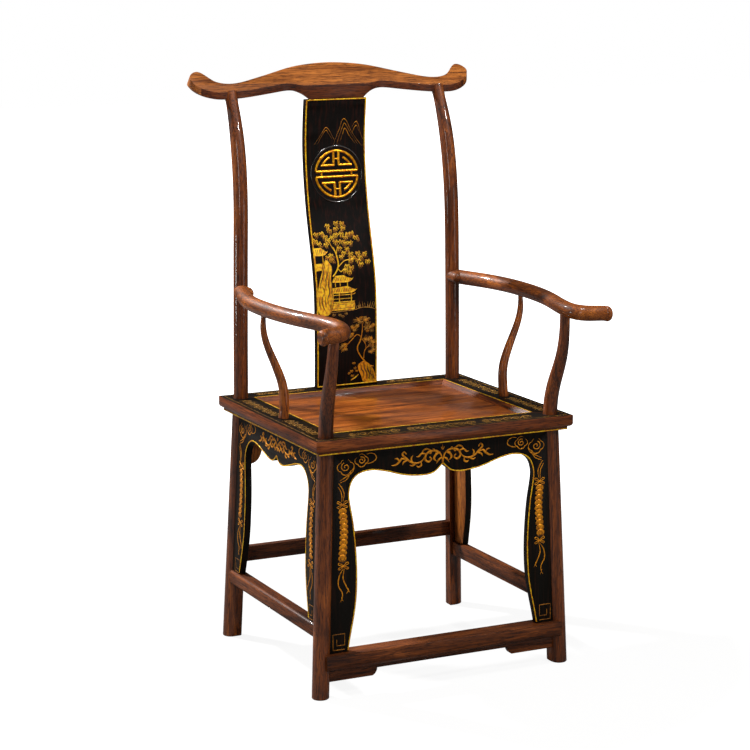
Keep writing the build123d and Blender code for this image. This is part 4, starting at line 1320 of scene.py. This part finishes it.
@dataclass
class Seat:
    """The mitred frame with its lacquered border, and the two panel boards."""

    joinery: Joinery
    gilder: Gilder
    slot: str = "frame_wood"
    rail_arris: float = 1.1
    board_arris: float = 0.25
    line_inset: float = 1.6
    outer_inset: float = 9.0
    scroll_pitch: float = 22.0

    def build(self) -> None:
        """Make the rails and boards and gild the border."""
        lacquer = BORDER_LACQUER.material()
        for side, grain in (
            ("front", Grain.ACROSS),
            ("back", Grain.ACROSS),
            ("left", Grain.DEPTH),
            ("right", Grain.DEPTH),
        ):
            node = f"seat_rail_{side}"
            finishes = [FRAME_WOOD.material(grain), lacquer]
            rail = self.joinery.soften(node, f"{node}_waxed", self.rail_arris, finishes, self.slot)
            self.joinery.repaint(rail, UPWARD, 0.97, (SEAT_TOP - 1.5) * MM)
        wood = [PANEL_WOOD.material(Grain.ACROSS)]
        for node in ("seat_panel_front", "seat_panel_back"):
            self.joinery.soften(node, f"{node}_waxed", self.board_arris, wood, "panel_wood")
        top = FlatFace(UPWARD * SEAT_TOP, RIGHTWARD, UPWARD)
        self.gilder.lay("seat_border_lines", self.border(), top, self.slot)
        for name, out, across, reach, half in (
            ("front", FORWARD, RIGHTWARD, HALF_DEPTH, HALF_WIDTH),
            ("left", -RIGHTWARD, FORWARD, HALF_WIDTH, HALF_DEPTH),
            ("right", RIGHTWARD, -FORWARD, HALF_WIDTH, HALF_DEPTH),
        ):
            lip = Drawing()
            half -= LIP_INSET + 1.0
            height = FRAME_UNDER + 1.8
            lip.line([(-half, height), (half, height)], 2.6, BRIGHT_GILT, smooth=False)
            face = FlatFace(out * (reach - LIP_INSET), across, out)
            self.gilder.lay(f"seat_lip_line_{name}", lip, face, self.slot)
        self.gilder.lay("seat_border_scrolls", self.scrolls(), top, self.slot)

    def border(self) -> Drawing:
        """Thin gold lines inside both edges of the border.

        Returns:
            The drawing.
        """
        drawing = Drawing()
        x = HALF_WIDTH - SIDE_BORDER + self.line_inset
        front = -(HALF_DEPTH - SIDE_BORDER + self.line_inset)
        back = HALF_DEPTH - BACK_BORDER + self.line_inset
        inner = [(-x, front), (x, front), (x, back), (-x, back)]
        drawing.line(inner, 2.0, BRIGHT_GILT, smooth=False, closed=True)
        x, y = HALF_WIDTH - self.outer_inset, HALF_DEPTH - self.outer_inset
        outer = [(-x, -y), (x, -y), (x, y), (-x, y)]
        drawing.line(outer, 0.9, DULL_GILT, smooth=False, closed=True)
        return drawing

    def scrolls(self) -> Drawing:
        """Running leaf scrolls in the middle of each side of the border.

        Returns:
            The drawing.
        """
        drawing = Drawing()
        run_y = -(HALF_DEPTH - SIDE_BORDER / 2 + 2)
        back_y = HALF_DEPTH - BACK_BORDER / 2 + 2
        for middle, half in ((-145.0, 55.0), (0.0, 75.0), (145.0, 55.0)):
            drawing.add(self.running((middle - half, run_y), (middle + half, run_y), 17.0))
        for side in (-1, 1):
            drawing.add(self.running((side * 205, back_y), (side * 95, back_y), 13.0))
            run_x = side * (HALF_WIDTH - SIDE_BORDER / 2 + 1)
            drawing.add(self.running((run_x, 176.0), (run_x, 8.0), 16.0))
            drawing.add(self.running((run_x, -40.0), (run_x, -184.0), 16.0))
        return drawing

    def running(self, start: Point, end: Point, reach: float) -> Drawing:
        """A chain of small scrolls and leaves from one point to another.

        Args:
            start: Where the chain begins, in millimetres.
            end: Where it ends, in millimetres.
            reach: Size of the scrolls, in millimetres.

        Returns:
            The drawing.
        """
        drawing = Drawing()
        sx, sy = start
        length = math.dist(start, end)
        ax, ay = (end[0] - sx) / length, (end[1] - sy) / length
        count = max(2, round(length / self.scroll_pitch))
        step = length / count
        seeded = random.Random(round(length))

        def draw(width: float, ends: tuple[float, float], *run: Point) -> None:
            """A line whose points are given along and across the run."""
            spots = [(sx + ax * u - ay * v, sy + ay * u + ax * v) for u, v in run]
            drawing.line(spots, width, DULL_GILT, ends=ends)

        for i in range(count):
            middle = step * (i + 0.5)
            sign = 1 if i % 2 else -1
            curl = sweep((middle, 0), reach * 0.62, sign * -0.6, sign * 8.2, 14, reach * 0.12)
            draw(1.5, (0.5, 0.9), *curl)
            for k in range(3):
                u, out = middle - step * 0.45, sign * reach
                tip = (u + seeded.uniform(3, 6), out * 0.3 * (k + 1))
                draw(2.1, (0.5, 0.3), (u, out * (0.1 + 0.28 * k)), tip)
            low = (middle, -sign * reach * 0.62)
            draw(1.4, (1.0, 1.0), (middle - step * 0.5, 0), low, (middle + step * 0.5, 0))
        return drawing


@dataclass
class Aprons:
    """The arched lacquered boards under the seat on three sides, and the back apron."""

    joinery: Joinery
    gilder: Gilder
    slot: str = "apron_lacquer"
    arris: float = 0.7
    facing: float = 0.97
    line_inset: float = 1.5

    def build(self) -> None:
        """Make the boards, then gild the three arches."""
        front_out = Vector((0, -1, (FRONT_SEAT_Y - FRONT_FOOT_Y) / SEAT_TOP)).normalized()
        for part in ("top", "left", "right"):
            self.board(f"front_apron_{part}", front_out)
        for side, sign in (("left", -1), ("right", 1)):
            out = Vector((sign, 0, (SIDE_FOOT_X - SIDE_SEAT_X) / SEAT_TOP)).normalized()
            for part in ("top", "front", "back"):
                self.board(f"side_apron_{side}_{part}", out)
            origin = RIGHTWARD * (sign * (SIDE_FOOT_X + APRON_SET_OUT))
            face = FlatFace(origin, -FORWARD * sign, out)
            centre = sign * SIDE_ARCH_CENTRE
            drawing = self.arch(SIDE_ARCH, centre)
            drawing.add(self.centre_scroll().moved(centre + 4, 456, size=0.84))
            for flip in (False, True):
                drawing.add(self.corner().moved(36.0).moved(centre, 0, flip))
                drawing.add(self.pendant(-176.0, 372.0, 148.0, 16.0).moved(centre, 0, flip))
            self.gilder.lay(f"side_apron_{side}_gilding", drawing, face, self.slot)
        self.board("back_apron", Vector((0, 1, 0.04)).normalized())
        face = FlatFace(Vector((0, FRONT_FOOT_Y - APRON_SET_OUT, 0)), RIGHTWARD, front_out)
        drawing = self.arch(FRONT_ARCH, 0.0)
        drawing.add(self.centre_scroll().moved(0, 455))
        for flip in (False, True):
            drawing.add(self.corner().moved(flip=flip))
            drawing.add(self.pendant(-217.0, 374.0, 92.0, 18.5).moved(flip=flip))
        self.gilder.lay("front_apron_gilding", drawing, face, self.slot)

    def board(self, node: str, out: Vector) -> None:
        """One board: lacquer outside and on its edges, bare wood on its inner face.

        Args:
            node: The board's node.
            out: The way its outer face looks.
        """
        finishes = [APRON_LACQUER.material(), APRON_BACK_WOOD.material(Grain.UPRIGHT)]
        piece = self.joinery.soften(node, f"{node}_lacquered", self.arris, finishes, self.slot)
        self.joinery.repaint(piece, -out, self.facing)

    def arch(self, stations: list[Point], centre: float) -> Drawing:
        """The gold line just inside the arch's edge.

        Args:
            stations: Points of one half of the arch's edge, from its middle.
            centre: Where the arch's middle lies, in millimetres.

        Returns:
            The drawing.
        """
        drawing = Drawing()
        last = len(stations) - 1
        for sign in (1, -1):
            run = []
            for i, (x, y) in enumerate(stations):
                before, after = stations[max(0, i - 1)], stations[min(last, i + 1)]
                length = math.dist(before, after)
                dx, dy = (after[0] - before[0]) / length, (after[1] - before[1]) / length
                run.append((centre + sign * (x - dy * self.line_inset), y + dx * self.line_inset))
            run[0] = (centre, run[0][1] + 0.8)
            drawing.line(run, 2.5, BRIGHT_GILT)
        return drawing

    @staticmethod
    def corner() -> Drawing:
        """Two cloud spirals in a corner, with the ribbon that runs down from them.

        Returns:
            The drawing.
        """
        drawing = Drawing()
        start, steps = math.pi * 0.6, 36
        for cx, cy, outer, sign in ((-209, 453.0, 16.5, 1), (-175, 462.5, 13.2, -1)):
            turn = sign * 1.35 * math.tau
            spiral = sweep((cx, cy), outer * 0.62, start, turn, 16, 1.6, 0.9)
            drawing.line(spiral, 2.0, AMBER_GILT)
            # the cloud's outline swells four times on its way round
            lobes = []
            for i in range(steps + 1):
                turn = math.tau * 0.9 * i / steps * sign + start
                swell = outer * (0.86 + 0.22 * abs(math.cos(2.0 * (turn - math.pi / 2))))
                lobes.append((cx + swell * math.cos(turn), cy + swell * 0.88 * math.sin(turn)))
            drawing.line(lobes, 2.0, AMBER_GILT, ends=(0.4, 0.4))
        drawing.strokes(
            AMBER_GILT,
            (2.0, "-163,455 -152,457 -144,463 -146,471 -155,475 -164,474"),
            (2.0, "-190,451 -196,441 -208,434 -222,427"),
            (2.0, "-198,442 -207,429 -221,423"),
            (2.0, "-224,422 -217,412 -213,400 -216,386"),
            (2.0, "-226,416 -220,406 -218,396 -219,386"),
            ends=(0.5, 0.5),
        )
        return drawing

    @staticmethod
    def pendant(x: float, top: float, foot: float, disc: float) -> Drawing:
        """A bow, a hanging chain of discs, a second bow, two ribbons and a key fret.

        Args:
            x: Where it hangs.
            top: Height of the chain's top.
            foot: Height of the fret's foot.
            disc: Width of a disc.

        Returns:
            The drawing.
        """
        drawing = Drawing()
        low = top - 112.0

        def bow(y: float) -> None:
            """A small bow with two loops on each side.

            Args:
                y: Height of the bow's knot, in millimetres.
            """
            for sign in (-1, 1):
                for lift in (4.5, -4.0):
                    loop = ((0, 0), (6, 0.4), (11, 1.0), (9, 1.6), (4, 1.0))
                    run = [(x + sign * u, y + lift * v) for u, v in loop]
                    drawing.line(run, 1.5, AMBER_GILT, closed=True)

        bow(top + 6)
        count, pitch, swing = 10, 10.2, 2.4
        for i in range(count):
            sway = swing * math.sin(i / count * math.pi * 1.4)
            centre = (x + sway, top - 8 - i * pitch)
            drawing.disc(centre, disc, AMBER_GILT)
            for reach, start, turn, width in ((0.44, 195, 150, 1.5), (0.22, 130, 280, 1.1)):
                edge = sweep(centre, disc * reach, math.radians(start), math.radians(turn), 9)
                drawing.line(edge, width, SHADOW_GILT, lift=0.8)
        bow(low - 3)
        ribbons = Drawing()
        for width, points, ends in (
            (2.4, "0,-8 -9,-22 -11,-40 -3,-56 -4,-68", (0.4, 0.5)),
            (2.4, "2,-8 -1,-26 4,-40 10,-52", (0.4, 0.8)),
            (1.6, "-5,-63 -4,-68 -7.5,-73", (0.6, 0.3)),
            (1.6, "-4,-68 -1,-72.5", (0.8, 0.3)),
            (1.6, "9,-47 10,-52 6.5,-57", (0.6, 0.3)),
            (1.6, "10,-52 13,-56.5", (0.8, 0.3)),
        ):
            ribbons.line(points, width, AMBER_GILT, ends=ends)
        drawing.add(ribbons.moved(x, low))
        size = disc * 1.35
        left = x - disc * 1.32
        # the fret's turns, in shares of its width
        turns = path("1,0 0,0 0,1.25 1,1.25 1,.35 .32,.35 .32,.85")
        fret = [(left + size * u, foot + 2 + size * v) for u, v in turns]
        drawing.line(fret, 1.7, FADED_GILT, smooth=False)
        return drawing

    @staticmethod
    def centre_scroll() -> Drawing:
        """Mirrored leafy scrolls about the middle of an apron, around (0, 0).

        Returns:
            The drawing.
        """
        half = Drawing()
        for width, points, ends in (
            (4.4, "1,-13 2,-3 7,6 17,11 29,10 37,4 38,-5 31,-10 25,-5 29,0", (0.4, 0.6)),
            (4.2, "38,3 45,-6 56,-10 69,-7 80,2 88,10 84,15 79,10", (0.3, 0.6)),
            (4.6, "80,-1 89,2 94,-3 103,-9 112,-9", (0.3, 0.2)),
            (4.4, "8,6 16,2 19,-5 13,-11", (0.7, 0.15)),
            (4.0, "3,-4 9,-8 14,-15", (0.6, 0.15)),
            (3.8, "24,11 34,16 42,14 46,8", (0.6, 0.15)),
            (3.8, "36,6 46,8 52,3 58,3", (0.5, 0.15)),
            (3.6, "48,-8 47,-15 53,-18 58,-15", (0.6, 0.2)),
            (3.6, "58,-10 66,-14 73,-12", (0.6, 0.15)),
            (3.8, "66,-8 69,0 65,6", (0.6, 0.15)),
            (3.6, "76,-2 85,-5 88,-11", (0.6, 0.15)),
            (3.4, "94,-3 99,3 105,3", (0.6, 0.15)),
            (2.6, "10.462,7.731 13.151,5.26 16.566,6.423", (0.7, 0.15)),
            (2.6, "17.429,10.964 19.008,14.257 22.611,14.446", (0.7, 0.15)),
            (2.6, "25.143,10.321 26.155,6.813 29.677,6.03", (0.7, 0.15)),
        ):
            half.line(points, width, AMBER_GILT, ends=ends)
        drawing = half.moved()
        drawing.add(half.moved(flip=True))
        drawing.line("-4,17 0,12 4,17", 2.6, AMBER_GILT, ends=(0.3, 0.3))
        drawing.line("0,22 0,12", 3.0, AMBER_GILT, ends=(0.2, 0.9))
        return drawing


@dataclass
class Base:
    """The footrest, its strip and the stepped stretchers."""

    joinery: Joinery

    def build(self) -> None:
        """Soften each bar."""
        for node, arris, grain in (
            ("footrest", 1.2, Grain.ACROSS),
            ("footrest_strip", 0.8, Grain.ACROSS),
            ("side_stretcher_left", 1.2, Grain.DEPTH),
            ("side_stretcher_right", 1.2, Grain.DEPTH),
            ("back_stretcher", 1.2, Grain.ACROSS),
        ):
            wood = [STRETCHER_WOOD.material(grain)]
            self.joinery.soften(node, f"{node}_waxed", arris, wood, "stretcher_wood")


@dataclass
class Studio:
    """A pale floor, soft lamps and the camera."""

    camera_spot: Spot = (-2.03483, -4.10769, 1.47322)
    yaw: float = 25.854
    pitch: float = 11.061
    roll: float = 0.0846
    lens: float = 111.107
    sensor: float = 36.0
    floor_reach: float = 14.0
    shadow_near: float = 0.7
    shadow_far: float = 2.0
    shadow_share: float = 0.45
    floor_glow: float = 2.0
    sky_light: float = 0.09

    def build(self) -> None:
        """Make the floor, the world, the lamps and the camera."""
        self.floor()
        self.world()
        # name, place, what it looks at, size in metres, watts
        for name, spot, target, size, power in (
            ("top_softbox", (-0.5, -0.9, 3.4), (0.0, 0.0, 0.6), (0.6, 0.6), 46.0),
            ("front_left_strip", (-2.3, -2.3, 1.6), (0.0, 0.0, 0.7), (0.4, 1.7), 17.0),
            ("back_lamp", (-1.5, 2.2, 2.6), (0.0, 0.0, 0.5), (0.22, 0.22), 165.0),
            ("low_left_card", (-2.6, 0.7, 0.45), (0.0, 0.1, 0.35), (0.4, 0.3), 8.0),
            ("high_right_key", (1.5, -2.3, 3.0), (0.0, 0.0, 0.8), (0.22, 0.32), 62.0),
            ("low_front_card", (1.5, -2.9, 0.5), (0.0, 0.0, 0.4), (0.9, 0.9), 7.0),
        ):
            self.lamp(name, spot, target, size, power)
        self.camera()

    def floor(self) -> None:
        """A wide plain floor that keeps a soft shadow near the chair."""
        mesh = bpy.data.meshes.new("floor")
        far = self.floor_reach
        corners = [(-far, -far, 0), (far, -far, 0), (far, far, 0), (-far, far, 0)]
        mesh.from_pydata(corners, [], [(0, 1, 2, 3)])
        plain = bpy.data.materials.new("pale_floor")
        plain.use_nodes = True
        plain.node_tree.nodes.clear()
        add = partial(add_node, plain.node_tree)
        place = add("ShaderNodeTexCoord").outputs["Object"]
        away = add("ShaderNodeVectorMath", {0: place}, operation="LENGTH")
        span = {"From Min": self.shadow_near, "From Max": self.shadow_far}
        inputs = {"Value": away.outputs["Value"], **span, "To Min": self.shadow_share}
        fade = add("ShaderNodeMapRange", inputs)
        matt = add("ShaderNodeBsdfDiffuse", {"Color": linear("#7c7b7a")})
        glow = add("ShaderNodeEmission", {"Color": WHITE, "Strength": self.floor_glow})
        inputs = {0: add("ShaderNodeLightPath"), 1: fade}
        seen = add("ShaderNodeMath", inputs, operation="MULTIPLY")
        both = add("ShaderNodeMixShader", {0: seen, 1: matt, 2: glow})
        add("ShaderNodeOutputMaterial", {0: both})
        mesh.materials.append(plain)
        ground = add_object("floor", mesh)

    def world(self) -> None:
        """White where it is looked at, a quieter light where it falls."""
        world = bpy.data.worlds.new("studio")
        bpy.context.scene.world = world
        world.use_nodes = True
        world.node_tree.nodes.clear()
        add = partial(add_node, world.node_tree)
        inputs = {"Color": linear("#f1f0ee"), "Strength": self.sky_light}
        light = add("ShaderNodeBackground", inputs)
        white = add("ShaderNodeBackground", {"Color": WHITE, "Strength": 1.0})
        inputs = {0: add("ShaderNodeLightPath"), 1: light, 2: white}
        add("ShaderNodeOutputWorld", {0: add("ShaderNodeMixShader", inputs)})

    @staticmethod
    def lamp(name: str, spot: Spot, target: Spot, size: tuple[float, float], power: float) -> None:
        """Hang one soft rectangular lamp that looks at a point.

        Args:
            name: The lamp's name.
            spot: Where it hangs, in metres.
            target: The point it looks at, in metres.
            size: Width and height, in metres.
            power: Power in watts.
        """
        data = bpy.data.lights.new(name, "AREA")
        data.shape = "RECTANGLE"
        data.size, data.size_y = size
        data.energy = power
        lamp = add_object(name, data)
        lamp.location = spot
        lamp.rotation_euler = (Vector(target) - Vector(spot)).to_track_quat("-Z", "Y").to_euler()

    def camera(self) -> None:
        """Stand the camera at its place and turn it by yaw, pitch and roll."""
        yaw, pitch, roll = (math.radians(a) for a in (self.yaw, self.pitch, self.roll))
        level = math.cos(pitch)
        ahead = Vector((math.sin(yaw) * level, math.cos(yaw) * level, -math.sin(pitch)))
        right = Vector((math.cos(yaw), -math.sin(yaw), 0.0))
        down = ahead.cross(right)
        turned = right * math.cos(roll) + down * math.sin(roll)
        lower = down * math.cos(roll) - right * math.sin(roll)
        data = bpy.data.cameras.new("camera")
        data.lens = self.lens
        data.sensor_width = self.sensor
        data.clip_end = 60.0
        camera = add_object("camera", data)
        turn = Matrix((turned, -lower, -ahead)).transposed()
        camera.matrix_world = Matrix.Translation(self.camera_spot) @ turn.to_4x4()
        bpy.context.scene.camera = camera


def main() -> None:
    """Dress the whole chair."""
    logging.basicConfig(level=logging.INFO, format="%(name)s %(message)s")
    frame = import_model()
    joinery = Joinery(frame["nodes"])
    gilder = Gilder()
    Posts(frame["nodes"]).dress()
    Back(joinery, gilder).build()
    Seat(joinery, gilder).build()
    Aprons(joinery, gilder).build()
    Base(joinery).build()
    Studio().build()
    bpy.context.scene.view_settings.view_transform = "Standard"


if __name__ == "__main__":
    main()
